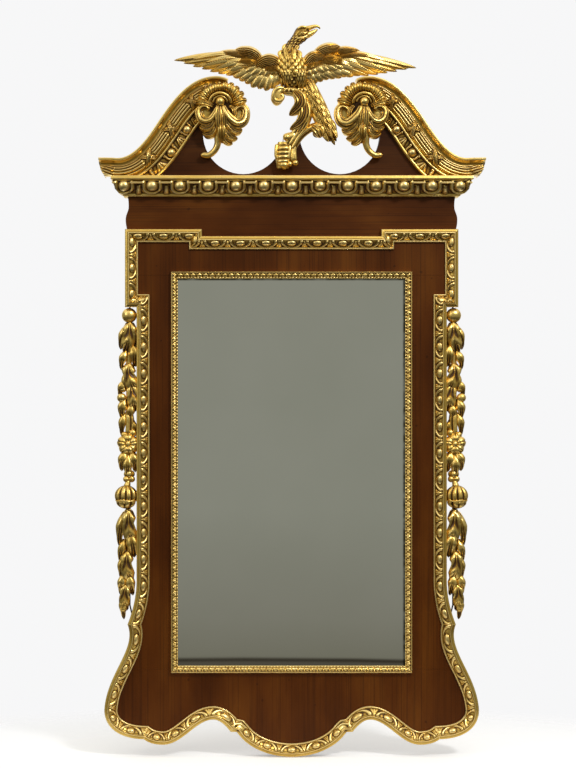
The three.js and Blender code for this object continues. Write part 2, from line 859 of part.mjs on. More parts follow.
// ---------------------------------------------------------------- the bird and its perch
const BIRD_Y = CORNICE_TOP + 188; // where the bird's feet are
const BIRD_Z = 34; // mid-depth of the bird, in front of the pediment board
const PERCH_Y = CORNICE_TOP + 18; // the foot of the perch
const PERCH_Z = front + 12;
const perchAtFoot = joined([
  limb(
    [
      [-12, -1, PERCH_Z, 8],
      [-16, 10, PERCH_Z, 11.5],
      [-18, 26, PERCH_Z, 11.8],
      [-15, 42, PERCH_Z, 10],
      [2, 56, PERCH_Z, 8],
      [21, 78, PERCH_Z, 8],
      [32, 104, PERCH_Z, 9],
      [31, 125, PERCH_Z, 8.5],
      [20, 141, PERCH_Z, 8],
      [4, 151, PERCH_Z, 7],
      [-12, 154, PERCH_Z, 6.5],
      [-25, 148, PERCH_Z, 7],
      [-31, 138, PERCH_Z, 9],
      [-32, 129, PERCH_Z, 7],
    ],
    { steps: 20, sides: 7 },
  ),
  limb(
    [
      [-2, 10, PERCH_Z, 5],
      [-1, 36, PERCH_Z, 6],
      [8, 52, PERCH_Z, 6],
      [24, 69, PERCH_Z, 6.5],
      [40, 76, PERCH_Z, 6],
      [51, 74, PERCH_Z, 7],
      [53, 66, PERCH_Z, 6],
    ],
    { steps: 12 },
  ),
  limb(
    [
      [26, 128, PERCH_Z, 7],
      [16, 114, PERCH_Z, 7],
      [-5, 106, PERCH_Z, 2.5],
    ],
    { steps: 5 },
  ),
  limb(
    [
      [28, 100, PERCH_Z, 7],
      [14, 86, PERCH_Z, 7],
      [-3, 80, PERCH_Z, 4],
    ],
    { steps: 5 },
  ),
  limb(
    [
      [2, 56, PERCH_Z, 7],
      [-6, 61, PERCH_Z, 7],
      [-10, 66, PERCH_Z, 5],
    ],
    { steps: 4 },
  ),
]);

const perch = perchAtFoot.translate([0, PERCH_Y, 0]);

// The bird's body, neck, head, beak and legs; grow makes it fatter all over.
const birdBody = (grow) => joined([
  limb(
    [
      [22, -9, BIRD_Z, 12],
      [10, 6, BIRD_Z, 22],
      [1, 24, BIRD_Z, 25],
      [-2, 44, BIRD_Z + 1, 21],
      [4, 63, BIRD_Z + 2, 13],
      [11, 80, BIRD_Z + 2, 10.5],
      [17, 94, BIRD_Z + 2, 10.5],
      [27, 101, BIRD_Z + 2, 9.5],
      [37, 103, BIRD_Z + 2, 5],
      [52, 107, BIRD_Z + 2, 2],
    ],
    { steps: 22, sides: 12, flatten: 0.9, grow },
  ),
  limb(
    [
      [-8, 6, BIRD_Z + 4, 11],
      [-6, -4, BIRD_Z + 3, 7],
      [-2, -15, BIRD_Z + 2, 4],
    ],
    { steps: 4, grow },
  ),
  limb(
    [
      [12, 4, BIRD_Z + 4, 11],
      [14, -10, BIRD_Z + 3, 7],
      [17, -23, BIRD_Z + 2, 4],
    ],
    { steps: 4, grow },
  ),
]);

const WING_BACK = BIRD_Z - 8;
const WING_FRONT = BIRD_Z + 4;
const COVERT_FRONT = BIRD_Z + 9; // the short feathers along the leading edge stand prouder
const LEFT_WING = [
  [-20, 12],
  [-24, 44],
  [-50, 49],
  [-67, 46],
  [-85, 60],
  [-104, 64],
  [-123, 64],
  [-143, 59],
  [-143, 51],
  [-172, 48],
  [-202, 45],
  [-232, 42],
  [-206, 32],
  [-179, 24],
  [-160, 22],
  [-140, 16],
  [-124, 15],
  [-110, 8],
  [-97, 1],
  [-87, -3],
  [-77, -10],
  [-65, -11],
  [-53, -17],
  [-42, -13],
  [-32, -9],
];
const LEFT_COVERTS = [
  [-22, 16],
  [-24, 44],
  [-50, 49],
  [-67, 46],
  [-85, 60],
  [-104, 64],
  [-123, 64],
  [-143, 59],
  [-120, 48],
  [-112, 34],
  [-88, 26],
  [-60, 15],
  [-38, 10],
];
const RIGHT_WING = [
  [20, 10],
  [24, 31],
  [35, 60],
  [50, 68],
  [83, 75],
  [95, 65],
  [132, 61],
  [136, 55],
  [164, 50],
  [193, 40],
  [247, 29],
  [218, 21],
  [185, 16],
  [160, 17],
  [139, 12],
  [114, 17],
  [109, 12],
  [95, 9],
  [82, 5],
  [68, 1],
  [57, 1],
  [45, -2],
  [32, 0],
];
const RIGHT_COVERTS = [
  [24, 31],
  [35, 60],
  [50, 68],
  [83, 75],
  [95, 65],
  [132, 61],
  [136, 55],
  [110, 46],
  [94, 36],
  [70, 36],
  [44, 26],
];
const TAIL = [
  [14, 2],
  [33, 3],
  [52, -34],
  [66, -63],
  [79, -86],
  [88, -105],
  [92, -128],
  [87, -132],
  [72, -120],
  [62, -100],
  [50, -78],
  [40, -59],
  [26, -27],
];
const tail = (grow) =>
  board(
    offset(flat(TAIL), inwardOf(flat(TAIL), true), -grow),
    BIRD_Z - 3 - grow,
    BIRD_Z + 9 + grow,
    2,
  );
const wing = (feathers, coverts) =>
  board(flat(feathers), WING_BACK, WING_FRONT, 1.5).add(
    board(flat(coverts), WING_BACK + 3, COVERT_FRONT, 2),
  );
// Neighbours are cut back to leave a glue line: the wings and the perch by the body and tail.
const atBird = (made) => made.translate([0, BIRD_Y, 0]);
const bird = (grow) => atBird(joined([birdBody(grow), tail(grow)]));
const birdRoom = bird(GLUE_LINE);
place("bird_body", bird(0), gilt);
const wingOn = (feathers, coverts) => atBird(wing(feathers, coverts)).subtract(birdRoom);
place("wing_left", wingOn(LEFT_WING, LEFT_COVERTS), gilt);
place("wing_right", wingOn(RIGHT_WING, RIGHT_COVERTS), gilt);
place("perch", perch.subtract(birdRoom), gilt);

// ---------------------------------------------------------------- side drops
placePair("drop_wire", dropWire(), iron);
const ahead = box(-FAR, FAR, -FAR, FAR, DROP_BACK, FAR);
const threaded = (made) => made.intersect(ahead).subtract(dropBore);
// A spray of leaves, drawn from the point of the wire under the ear.
const spray = (outline, face, bevel) =>
  board(flat(outline), DROP_BACK, face, bevel)
    .scale([1, DROP_STRETCH, 1])
    .translate([DROP_X, EAR_BOTTOM, 0]);
const ball = solid(
  new THREE.SphereGeometry(BALL_R, 14, 10).translate(DROP_X + 1, BALL_Y, DROP_Z + 2),
);
const UPPER_SPRAY = [
  [8, -25],
  [-5, -25],
  [-8, -57],
  [-13, -73],
  [-5, -78],
  [-12, -91],
  [-12, -109],
  [-1, -112],
  [-5, -129],
  [-11, -148],
  [-6, -154],
  [-12, -166],
  [-12, -203],
  [-1, -208],
  [13, -217],
  [21, -202],
  [19, -186],
  [25, -177],
  [20, -151],
  [13, -143],
  [9, -117],
  [18, -115],
  [20, -101],
  [15, -85],
  [18, -69],
  [7, -38],
];
placePair(
  "drop_upper_spray",
  threaded(spray(UPPER_SPRAY, DROP_FRONT, 4).add(ball)),
  gilt,
);
const ROSETTE_STEM = [
  [-5, -210],
  [-6, -243],
  [-10, -293],
  [-4, -318],
  [-1, -339],
  [4, -339],
  [12, -313],
  [18, -293],
  [14, -243],
  [12, -219],
  [2, -213],
];
const budRosette = solid(
  new THREE.SphereGeometry(BUD_ROSETTE_R, 12, 8)
    .scale(0.95, 1, 0.75)
    .translate(DROP_X + 4, BUD_ROSETTE_Y, DROP_Z + 4),
);
placePair(
  "drop_rosette",
  threaded(spray(ROSETTE_STEM, DROP_FRONT - 4, 2).add(budRosette)),
  gilt,
);
const gourdProfile = flat([
  [0, -GOURD_R],
  [GOURD_R * 0.6, -GOURD_R * 0.78],
  [GOURD_R * 0.95, -GOURD_R * 0.3],
  [GOURD_R, 0],
  [GOURD_R * 0.9, GOURD_R * 0.45],
  [GOURD_R * 0.55, GOURD_R * 0.9],
  [GOURD_R * 0.25, GOURD_R * 1.25],
  [0, GOURD_R * 1.5],
]);
const gourd = solid(
  new THREE.LatheGeometry(gourdProfile, 12).translate(DROP_X + 7, GOURD_Y, DROP_Z + 4),
);
placePair("drop_gourd", threaded(gourd), gilt);
const LOWER_SPRAY = [
  [6, -402],
  [-4, -413],
  [-12, -430],
  [-9, -443],
  [-12, -463],
  [-12, -480],
  [0, -483],
  [-4, -495],
  [-12, -507],
  [-7, -523],
  [-11, -541],
  [-7, -564],
  [3, -559],
  [-2, -576],
  [-4, -588],
  [1, -605],
  [7, -618],
  [12, -623],
  [18, -612],
  [20, -588],
  [15, -563],
  [17, -548],
  [18, -533],
  [15, -507],
  [20, -501],
  [19, -473],
  [16, -434],
  [11, -407],
];
placePair(
  "drop_lower_spray",
  threaded(spray(LOWER_SPRAY, DROP_FRONT, 4)),
  gilt,
);

// ---------------------------------------------------------------- hanging rings
const knuckleOuter = RING_WIRE_R + KNUCKLE_FIT + KNUCKLE_WALL;
const pivotZ = -(GLUE_LINE + knuckleOuter);
const alongX = (radius, half, sides) =>
  rod(
    radius,
    [HANGER_X - half, HANGER_Y, pivotZ],
    [HANGER_X + half, HANGER_Y, pivotZ],
    sides,
  );
const plate = box(
  HANGER_X - HANGER_W / 2,
  HANGER_X + HANGER_W / 2,
  HANGER_Y,
  HANGER_Y + HANGER_L,
  plateBack,
  -GLUE_LINE,
);
placePair(
  "hanger_plate",
  plate
    .add(alongX(knuckleOuter, HANGER_W / 2 - 1, 16))
    .subtract(alongX(RING_WIRE_R + KNUCKLE_FIT, HANGER_W, 16))
    .subtract(screwBore),
  brass,
);
const ringPath = [];
for (let i = 0; i <= 10; i++) {
  const angle = (Math.PI * i) / 10;
  ringPath.push([
    HANGER_X - RING_HALF * Math.cos(angle),
    HANGER_Y - RING_ARM - RING_HALF * Math.sin(angle),
    pivotZ,
    RING_WIRE_R,
  ]);
}
const ringBow = limb(
  [
    [HANGER_X - RING_HALF, HANGER_Y, pivotZ, RING_WIRE_R],
    ...ringPath,
    [HANGER_X + RING_HALF, HANGER_Y, pivotZ, RING_WIRE_R],
  ],
  { steps: 16 },
);
placePair("hanger_ring", ringBow.add(alongX(RING_WIRE_R, RING_HALF, 12)), brass);
const screwProfile = flat([
  [0, -SCREW_L],
  [SCREW_R, -SCREW_L + 2],
  [SCREW_R, GLUE_LINE],
  [SCREW_HEAD_R, GLUE_LINE],
  [SCREW_HEAD_R, SCREW_HEAD_H * 0.5],
  [SCREW_HEAD_R * 0.6, SCREW_HEAD_H],
  [0, SCREW_HEAD_H],
]);
["lower", "upper"].forEach((name, i) => {
  const screw = solid(
    new THREE.LatheGeometry(screwProfile, 10)
      .rotateX(-Math.PI / 2)
      .translate(HANGER_X, HANGER_Y + SCREW_OFFSETS[i], plateBack),
  );
  placePair(`hanger_screw_${name}`, screw, iron);
});

// ---------------------------------------------------------------- into the part's own frame
drawing.position.z = -ORIGIN_Y;
drawing.rotation.x = Math.PI / 2;
const mirror = new THREE.Group();
mirror.add(drawing);

export default mirror;
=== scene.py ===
import math
import bpy
import bmesh
import numpy as np
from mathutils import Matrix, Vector


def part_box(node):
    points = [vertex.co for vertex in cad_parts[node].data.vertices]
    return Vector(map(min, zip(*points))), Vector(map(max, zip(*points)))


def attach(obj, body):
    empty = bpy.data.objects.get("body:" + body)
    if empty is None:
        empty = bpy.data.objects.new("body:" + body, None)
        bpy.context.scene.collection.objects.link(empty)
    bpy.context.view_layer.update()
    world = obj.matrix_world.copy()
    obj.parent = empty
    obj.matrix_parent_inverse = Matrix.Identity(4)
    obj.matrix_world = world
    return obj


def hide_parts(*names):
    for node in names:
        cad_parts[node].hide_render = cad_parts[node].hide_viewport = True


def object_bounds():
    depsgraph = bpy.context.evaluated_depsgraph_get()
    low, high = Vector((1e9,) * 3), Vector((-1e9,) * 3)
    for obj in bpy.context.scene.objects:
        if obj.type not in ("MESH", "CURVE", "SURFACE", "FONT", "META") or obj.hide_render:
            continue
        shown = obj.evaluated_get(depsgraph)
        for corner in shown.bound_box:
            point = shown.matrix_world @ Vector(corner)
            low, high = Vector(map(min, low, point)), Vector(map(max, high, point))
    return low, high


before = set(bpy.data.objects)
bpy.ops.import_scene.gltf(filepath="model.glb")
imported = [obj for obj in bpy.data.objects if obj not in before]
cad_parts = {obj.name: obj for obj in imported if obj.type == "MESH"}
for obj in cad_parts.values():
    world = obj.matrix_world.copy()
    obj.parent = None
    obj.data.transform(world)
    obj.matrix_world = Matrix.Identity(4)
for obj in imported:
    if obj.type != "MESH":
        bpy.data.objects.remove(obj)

cad_box = [list(corner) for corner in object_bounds()]

# ---- Camera, floor, surround and lamps -----------------------------------------------------
# A view camera square on to the frame, set a little left of it. A pale floor thins out into a
# white surround. One broad lamp stands high on the right, a weaker one on the left, and a dim
# grey-green wall curves round behind the camera for the glass and gilding to reflect. That wall
# is painted light: it glows instead of being lit, with a painted shadow line at its skirting and
# a bright glowing ceiling.
camera_data = bpy.data.cameras.new("camera")
camera = bpy.data.objects.new("camera", camera_data)
bpy.context.scene.collection.objects.link(camera)
bpy.context.scene.camera = camera
lowest, highest = cad_box[0][2], cad_box[1][2]
camera_distance, camera_side = 3.5, -0.15  # metres
camera.location = (camera_side, -camera_distance, (lowest + highest) / 2)
camera.rotation_euler = (math.pi / 2, 0, 0)
camera_data.sensor_fit = "VERTICAL"
camera_data.sensor_height, camera_data.lens = 36, 81.94  # millimetres
camera_data.shift_x, camera_data.shift_y = 0.0936, 0.0101


class Tree:
    """The shader nodes of a material or of the world, added one by one."""

    def __init__(self, owner):
        owner.use_nodes = True
        self.nodes = owner.node_tree.nodes
        self.nodes.clear()
        self.link = owner.node_tree.links.new

    def feed(self, socket, value):
        """Sets a socket to a number or a colour, or links it to a node or one of its outputs."""
        if isinstance(value, float):
            socket.default_value = value
        elif isinstance(value, tuple):
            socket.default_value = (*value, 1) if socket.type == "RGBA" else value
        else:
            self.link(value.outputs[0] if isinstance(value, bpy.types.Node) else value, socket)

    def node(self, kind, *inputs, **settings):
        made = self.nodes.new("ShaderNode" + kind)
        for name, value in settings.items():
            setattr(made, name, value)
        for socket, value in zip(made.inputs, inputs):
            self.feed(socket, value)
        return made

    def maths(self, operation, a, b):
        return self.node("Math", a, b, operation=operation)

    def between(self, value, low, high):
        """0 up to low and 1 from high, for a value in metres."""
        return self.node("MapRange", value, low, high)

    def ramp(self, factor, *stops):
        made = self.node("ValToRGB", factor)
        elements = made.color_ramp.elements
        while len(elements) < len(stops):
            elements.new(0.5)
        for element, (at, colour) in zip(elements, stops):
            element.position = at
            element.color = (*colour, 1) if isinstance(colour, tuple) else (colour, colour, colour, 1)
        return made

    def mixed(self, factor, a, b, blend="MIX"):
        made = self.node("Mix", data_type="RGBA", blend_type=blend)
        for name, value in (("Factor", factor), ("A", a), ("B", b)):
            self.feed(made.inputs[name], value)
        return made.outputs["Result"]


def new_material(name):
    made = bpy.data.materials.new(name)
    return made, Tree(made)


def add_object(name, vertices, faces):
    mesh = bpy.data.meshes.new(name)
    mesh.from_pydata([tuple(v) for v in vertices], [], faces)
    made = bpy.data.objects.new(name, mesh)
    bpy.context.scene.collection.objects.link(made)
    return made


def lamp(name, place, aim, width, height, power):
    data = bpy.data.lights.new(name, "AREA")
    data.shape = "RECTANGLE"
    data.size, data.size_y = width, height
    data.energy = power
    made = bpy.data.objects.new(name, data)
    bpy.context.scene.collection.objects.link(made)
    made.location = place
    made.rotation_euler = (Vector(aim) - Vector(place)).to_track_quat("-Z", "Y").to_euler()


lamp("high right", (1.7, -2.5, 2.1), (0, 0, 0), 0.55, 0.45, 56)
lamp("left", (-2.6, -2.2, 1.2), (0, 0, -0.2), 1.4, 1.6, 18)

SURROUND = (0.93, 0.93, 0.935)
world = bpy.data.worlds.new("surround")
bpy.context.scene.world = world
tree = Tree(world)
path = tree.node("LightPath").outputs
shiny = tree.maths("ADD", path["Is Glossy Ray"], path["Is Transmission Ray"])
shown = tree.node("Math", path["Is Camera Ray"], shiny, operation="ADD", use_clamp=True)
dim, pale = tree.node("Background", SURROUND, 0.42), tree.node("Background", SURROUND, 1.0)
tree.node("OutputWorld", tree.node("MixShader", shown, dim, pale))

floor_height = lowest - 0.001
floor_side, near, far = 2.2, -0.85, 1.45
floor_corners = [(-floor_side, near), (floor_side, near), (floor_side, far), (-floor_side, far)]
floor = add_object("floor", [(x, y, floor_height) for x, y in floor_corners], [(0, 1, 2, 3)])
floor_paper, tree = new_material("floor paper")
position = tree.node("NewGeometry").outputs["Position"]
flattened = tree.node("VectorMath", position, (0.55, 1.0, 0), operation="MULTIPLY")
away = tree.node("VectorMath", flattened, operation="LENGTH").outputs["Value"]
paper_white = tree.node("Emission", (0.32, 0.32, 0.325), tree.node("LightPath").outputs["Is Camera Ray"])
lit_paper = tree.node("AddShader", tree.node("BsdfDiffuse", (0.93, 0.93, 0.94)), paper_white)
thinned = tree.ramp(away, (0.22, 0.0), (0.55, 1.0))  # metres from below the frame
tree.node("OutputMaterial", tree.node("MixShader", thinned, lit_paper, tree.node("BsdfTransparent")))
floor.data.materials.append(floor_paper)

WALL_OUTLINE = [  # [radius, height]: a dark floor, the wall and a ceiling
    (0.02, -3.5), (6.0, -3.4), (6.0, 2.8), (5.0, 3.8), (3.0, 4.3), (0.02, 4.5),
]
WALL_GLOW = [  # [height, colour] of the glow: the skirting, its painted shadow line, then lighter upwards
    (-1.736, (0.085, 0.077, 0.056)), (-1.729, (0.036, 0.030, 0.020)), (-1.719, (0.036, 0.030, 0.020)),
    (-1.708, (0.190, 0.185, 0.140)), (-1.50, (0.225, 0.222, 0.175)), (-0.9, (0.275, 0.280, 0.225)),
]
# The ceiling is painted light: a bright glow overhead that lights the tops of the gilding.
ROOM_FLOOR, CEILING = (0.030, 0.026, 0.020), (0.95, 0.92, 0.82)
floor_top, wall_foot, ceiling_low, ceiling_high = -3.3, -2.0, 2.2, 4.4  # heights where they meet the wall's glow
glow_low, glow_high = -1.9, -0.6  # heights between which the wall's glow changes
steps, ring = 48, len(WALL_OUTLINE)
turns = [math.pi * (0.74 + 1.52 * i / steps) for i in range(steps + 1)]
corners = [(r * math.cos(turn), r * math.sin(turn), height) for turn in turns for r, height in WALL_OUTLINE]
wall = add_object("room_wall", corners, [
    (k, k + 1, k + 1 + ring, k + ring) for k in range(steps * ring) if (k + 1) % ring
])
# The wall is emission only: it glows, dark at the skirting with its painted shadow line and bright at the
# ceiling.
glowing_wall, tree = new_material("room wall paint")
up = tree.node("SeparateXYZ", tree.node("NewGeometry").outputs["Position"]).outputs["Z"]
paint = tree.ramp(
    tree.between(up, glow_low, glow_high),
    *(((height - glow_low) / (glow_high - glow_low), colour) for height, colour in WALL_GLOW),
)
overhead = tree.ramp(tree.between(up, ceiling_low, ceiling_high), (0.0, 0.0), (0.8, 1.0))
paint = tree.mixed(overhead, paint, CEILING)
paint = tree.mixed(tree.between(up, floor_top, wall_foot), ROOM_FLOOR, paint)
glow = tree.mixed(tree.node("LightPath").outputs["Is Camera Ray"], paint, SURROUND)
tree.node("OutputMaterial", tree.node("Emission", glow))
wall.data.materials.append(glowing_wall)
bpy.context.scene.view_settings.view_transform = "Standard"

# ---- Veneered boards -----------------------------------------------------------------------
# Stiles, rails, frieze and pediment board: softwood faced with dark red-brown figured veneer,
# waxed to a soft shine. The grain stands upright on the stiles and apron, with clouded mottle.
def noise(tree, scale, detail=4.0, stretch=(1, 1, 1)):
    """Random grey over an object, drawn out along the axes where stretch is small."""
    mapping = tree.node("Mapping", tree.node("TexCoord").outputs["Object"])
    mapping.inputs["Scale"].default_value = stretch
    made = tree.node("TexNoise", mapping)
    made.inputs["Scale"].default_value = scale
    made.inputs["Detail"].default_value = detail
    return made


def surface(tree, colour, roughness, height=None, depth=0.0003, **others):
    """The finished look, with a bump of the given depth where there is a height."""
    shader = tree.node("BsdfPrincipled", colour)
    for name, value in {"Roughness": roughness, **others}.items():
        tree.feed(shader.inputs[name.replace("_", " ")], value)
    if height is not None:
        bump = tree.node("Bump", 0.35, depth)
        tree.feed(bump.inputs["Height"], height)
        tree.feed(shader.inputs["Normal"], bump)
    tree.node("OutputMaterial", shader)


def behind(tree):
    """1 on surfaces that face the wall, 0 on all others."""
    facing = tree.node("SeparateXYZ", tree.node("TexCoord").outputs["Normal"])
    return tree.ramp(facing.outputs["Y"], (0.55, 0.0), (0.75, 1.0))


def dress(material, *names):
    for name in names:
        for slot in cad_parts[name].material_slots:
            slot.material = material


VENEER_TONES = [
    (0.34, (0.058, 0.0130, 0.0006)), (0.52, (0.098, 0.0240, 0.0008)), (0.68, (0.150, 0.043, 0.0020)),
]
UPRIGHT, LEVEL = ((1, 1, 0.08), (1, 1, 0.28)), ((0.08, 1, 1), (0.4, 1, 1))
for name, (along, clouds_along), tone_and_shade, boards in (
    ("upright veneer", UPRIGHT, (1, 1, 1), ("stile_left", "stile_right", "head_rail", "apron_rail")),
    ("level veneer", LEVEL, (1, 1, 1), ("frieze_board",)),
    # The pediment board's veneer is darker and more purple: partly its own tone, partly painted shade from
    # the carving in front.
    ("pediment veneer", LEVEL, (0.60, 0.64, 1.15), ("pediment_board",)),
):
    material, tree = new_material(name)
    streaks = noise(tree, 38.0, 6.0, along)
    clouds = noise(tree, 13.0, 5.0, clouds_along)
    pores = noise(tree, 520.0, 2.0, tuple(part * part for part in along))
    figure = tree.maths("ADD", tree.maths("MULTIPLY", streaks, 0.20), tree.maths("MULTIPLY", clouds, 0.80))
    colour = tree.ramp(figure, *(
        (at, tuple(part * share for part, share in zip(tone, tone_and_shade))) for at, tone in VENEER_TONES
    ))
    colour = tree.mixed(0.55, colour, tree.ramp(pores, (0.34, 0.45), (0.46, 1.0)), "MULTIPLY")
    dents = tree.ramp(noise(tree, 95.0, 0.0), (0.16, 0.25), (0.19, 1.0))
    colour = tree.mixed(0.5, colour, dents, "MULTIPLY")
    bare = tree.ramp(streaks, (0.35, (0.12, 0.062, 0.026)), (0.65, (0.27, 0.16, 0.075)))
    colour = tree.mixed(behind(tree), colour, bare)
    surface(tree, colour, tree.ramp(clouds, (0.3, 0.36), (0.7, 0.50)), tree.maths("ADD", pores, clouds),
            Specular_IOR_Level=0.16)
    dress(material, *boards)

# ---- Planted outer moulding ----------------------------------------------------------------
# Lengths of carved softwood, gessoed, gilded in the gold leaf that the whole frame has, mitred
# and glued round the edge: a plain outer cove and crest, an ovolo of eggs in arched collars with
# fan leaves between, falling inwards, and a thin inner bead.
# From here on shapes are drawn in millimetres: x to the right, y up from the sole, z out from the
# wall, and in_frame() turns them into the part's own metres.
SOLE = 1000  # the part's origin above the lowest point of the apron
BOARD_FACE = 22.3  # where the carvings are planted, out from the wall
MOULDING_PITCH = 53  # from one egg to the next, before a whole number of them is fitted in
MOULDING_PROFILE = [
    (0.0, 0.0), (0.0, 7.6), (0.6, 8.8), (2.0, 9.6), (4.0, 10.4), (5.8, 11.6), (6.4, 12.7),
    (7.9, 12.9), (8.4, 11.0), (9.6, 11.3), (11.6, 11.0), (13.2, 10.3), (14.8, 9.3), (16.4, 8.0),
    (18.0, 6.4), (19.6, 4.7), (21.0, 3.0), (22.0, 1.8), (22.4, 3.2), (23.4, 4.3), (24.8, 4.3),
    (25.8, 3.2), (26.0, 0.0),
]
OVOLO = (9.2, 21.6)  # the carved part of the profile, as distances in from the outer edge
EGG = (8.8, 5.6)  # half its length and half its width
CARVING_STEP, PROFILE_STEP = 1.3, 0.9  # how closely it is cut along its length and round its profile


def in_frame(points, mirrored=False):
    points = np.array(points, float) * (-1 if mirrored else 1, 1, 1)
    return np.column_stack((points[:, 0], -points[:, 2], points[:, 1] - SOLE)) / 1000


def unit(vectors):
    return vectors / (np.linalg.norm(vectors, axis=-1, keepdims=True) + 1e-9)


def run_along(line):
    """How far along a line each of its points lies."""
    return np.concatenate(([0], np.cumsum(np.linalg.norm(np.diff(line, axis=0), axis=1))))


def bezier(*controls, steps=40):
    t = np.linspace(0, 1, steps + 1)[:, None]
    a, b, c, d = (np.array(point, float) for point in controls)
    return (1 - t) ** 3 * a + 3 * (1 - t) ** 2 * t * b + 3 * (1 - t) * t * t * c + t**3 * d


def chained(first, *others):
    return np.vstack([np.array(first, float)] + [np.array(other, float)[1:] for other in others])


def shell(grid):
    """A closed body from rows of equal rings: its sides, an end face each, turned outwards."""
    rows, columns = grid.shape[:2]
    points = grid.reshape(rows * columns, 3)
    r, c = np.meshgrid(np.arange(rows - 1), np.arange(columns), indexing="ij")
    here, beside = (r * columns + c).ravel(), (r * columns + (c + 1) % columns).ravel()
    quads = np.column_stack((here, beside, beside + columns, here + columns))
    ends = [list(range(columns))[::-1], list(range((rows - 1) * columns, rows * columns))]
    a, b, c, d = (points[quads[:, k]] for k in range(4))
    volume = (a * np.cross(b, c)).sum() + (a * np.cross(c, d)).sum()
    for end in ends:
        for k in range(1, columns - 1):
            volume += points[end[0]] @ np.cross(points[end[k]], points[end[k + 1]])
    faces = quads.tolist() + ends
    return points, faces if volume > 0 else [face[::-1] for face in faces]


def finely(values, step):
    """A polyline through the same corners with more points, no further apart than step."""
    values = np.array(values, float)
    points = [values[:1]]
    for a, b in zip(values[:-1], values[1:]):
        count = max(1, int(math.ceil(np.linalg.norm((b - a)[:2]) / step)))
        points.append(a + (b - a) * np.linspace(0, 1, count + 1)[1:, None])
    return np.vstack(points)


def swept(path, start_mitre, end_mitre, profile, step, relief=None, base=BOARD_FACE):
    """A carved length of moulding along path, clockwise round the work, cut to its two mitres.

    profile is [distance in, height]. relief(along, in, round the profile, length) raises the carving."""
    path = finely(path, 3.0)
    spare = 60.0  # how far it is drawn on past each end, for the mitres to be found in
    start, end = unit(path[0] - path[1]), unit(path[-1] - path[-2])
    length = run_along(path)[-1]
    whole = np.vstack((path[0] + start * spare, path, path[-1] + end * spare))
    s = run_along(whole) - spare
    inward = unit(np.diff(whole, axis=0))[:, ::-1] * (1, -1)
    inward = unit(np.vstack((inward[:1], inward[:-1] + inward[1:], inward[-1:])))
    fine = np.arange(-spare, length + spare, 0.2)

    def at(where, off):
        return (np.interp(where, s, whole[:, k]) + np.interp(where, s, inward[:, k]) * off for k in (0, 1))

    offs = np.linspace(0, max(off for off, height in profile) + 4, 24)
    cuts = []
    for corner, home, mitre, leaving in (
        (path[0], 0.0, start_mitre, -start), (path[-1], length, end_mitre, -end),
    ):
        across = np.array([mitre[1], -mitre[0]], float)
        across = across if across @ leaving > 0 else -across
        cut = []
        for off in offs:
            x, y = at(fine, off)
            inside = (x - corner[0]) * across[0] + (y - corner[1]) * across[1] > 0
            near = np.abs(fine - home) < spare - 2
            crossings = fine[:-1][near[1:] & (inside[1:] != inside[:-1])]
            cut.append(min(crossings, key=lambda found: abs(found - home), default=home))
        cuts.append(cut)
    outline = finely(profile, PROFILE_STEP)
    normal = unit(np.gradient(outline, axis=0)[:, ::-1] * (-1, 1))
    rows = max(3, int(length / step) + 1)
    t = np.linspace(0, 1, rows)[:, None]

    def mitred(off):
        return (1 - t) * np.interp(off, offs, cuts[0]) + t * np.interp(off, offs, cuts[1])

    off, height = (np.tile(outline[:, k], (rows, 1)) for k in (0, 1))
    if relief is not None:
        raised = relief(mitred(off), off, run_along(outline), length)
        off, height = off + raised * normal[:, 0], height + raised * normal[:, 1]
    return shell(np.dstack((*at(mitred(off), off), base + height)))


def within(across, width):
    """1 on a carved band, falling to 0 in the last 0.8 mm at each of its edges."""
    return np.clip(across / 0.8, 0, 1) * np.clip((width - across) / 0.8, 0, 1)


def moulding_relief(where, off, around, length):
    """Eggs in arched collars with a fan leaf between each two."""
    pitch = length / max(1, round(length / MOULDING_PITCH))
    width = OVOLO[1] - OVOLO[0]
    across = off - OVOLO[0]
    x = np.abs(where / pitch % 1 - 0.5) * pitch
    middle = EGG[1] * 1.02
    egg = np.sqrt(np.clip(1 - (x / EGG[0]) ** 2 - ((across - middle) / EGG[1]) ** 2, 0, 1))
    collar = (pitch * 0.385, 10.8)  # half its width and its reach across
    reach = np.hypot(x / collar[0], np.clip(across - middle * 0.4, 0, None) / collar[1])
    arch = np.clip(1 - ((reach - 1) * collar[1] / 1.7) ** 2, 0, 1)
    from_leaf, share = pitch / 2 - x, np.clip(across / width, 0, 1)
    spread = 1.0 + (pitch / 2 - collar[0]) * 0.8 * share**1.4 + 1.2 * share
    fan = np.clip(1 - (from_leaf / spread) ** 2, 0, 1) ** 0.5
    ribs = 0.72 + 0.28 * np.cos(2 * np.pi * from_leaf / (0.25 + 0.55 * spread))
    carved = np.maximum.reduce((1.25 * egg, 0.75 * arch, 0.62 * fan * ribs)) - 0.42
    return 2.9 * carved * within(across, width)


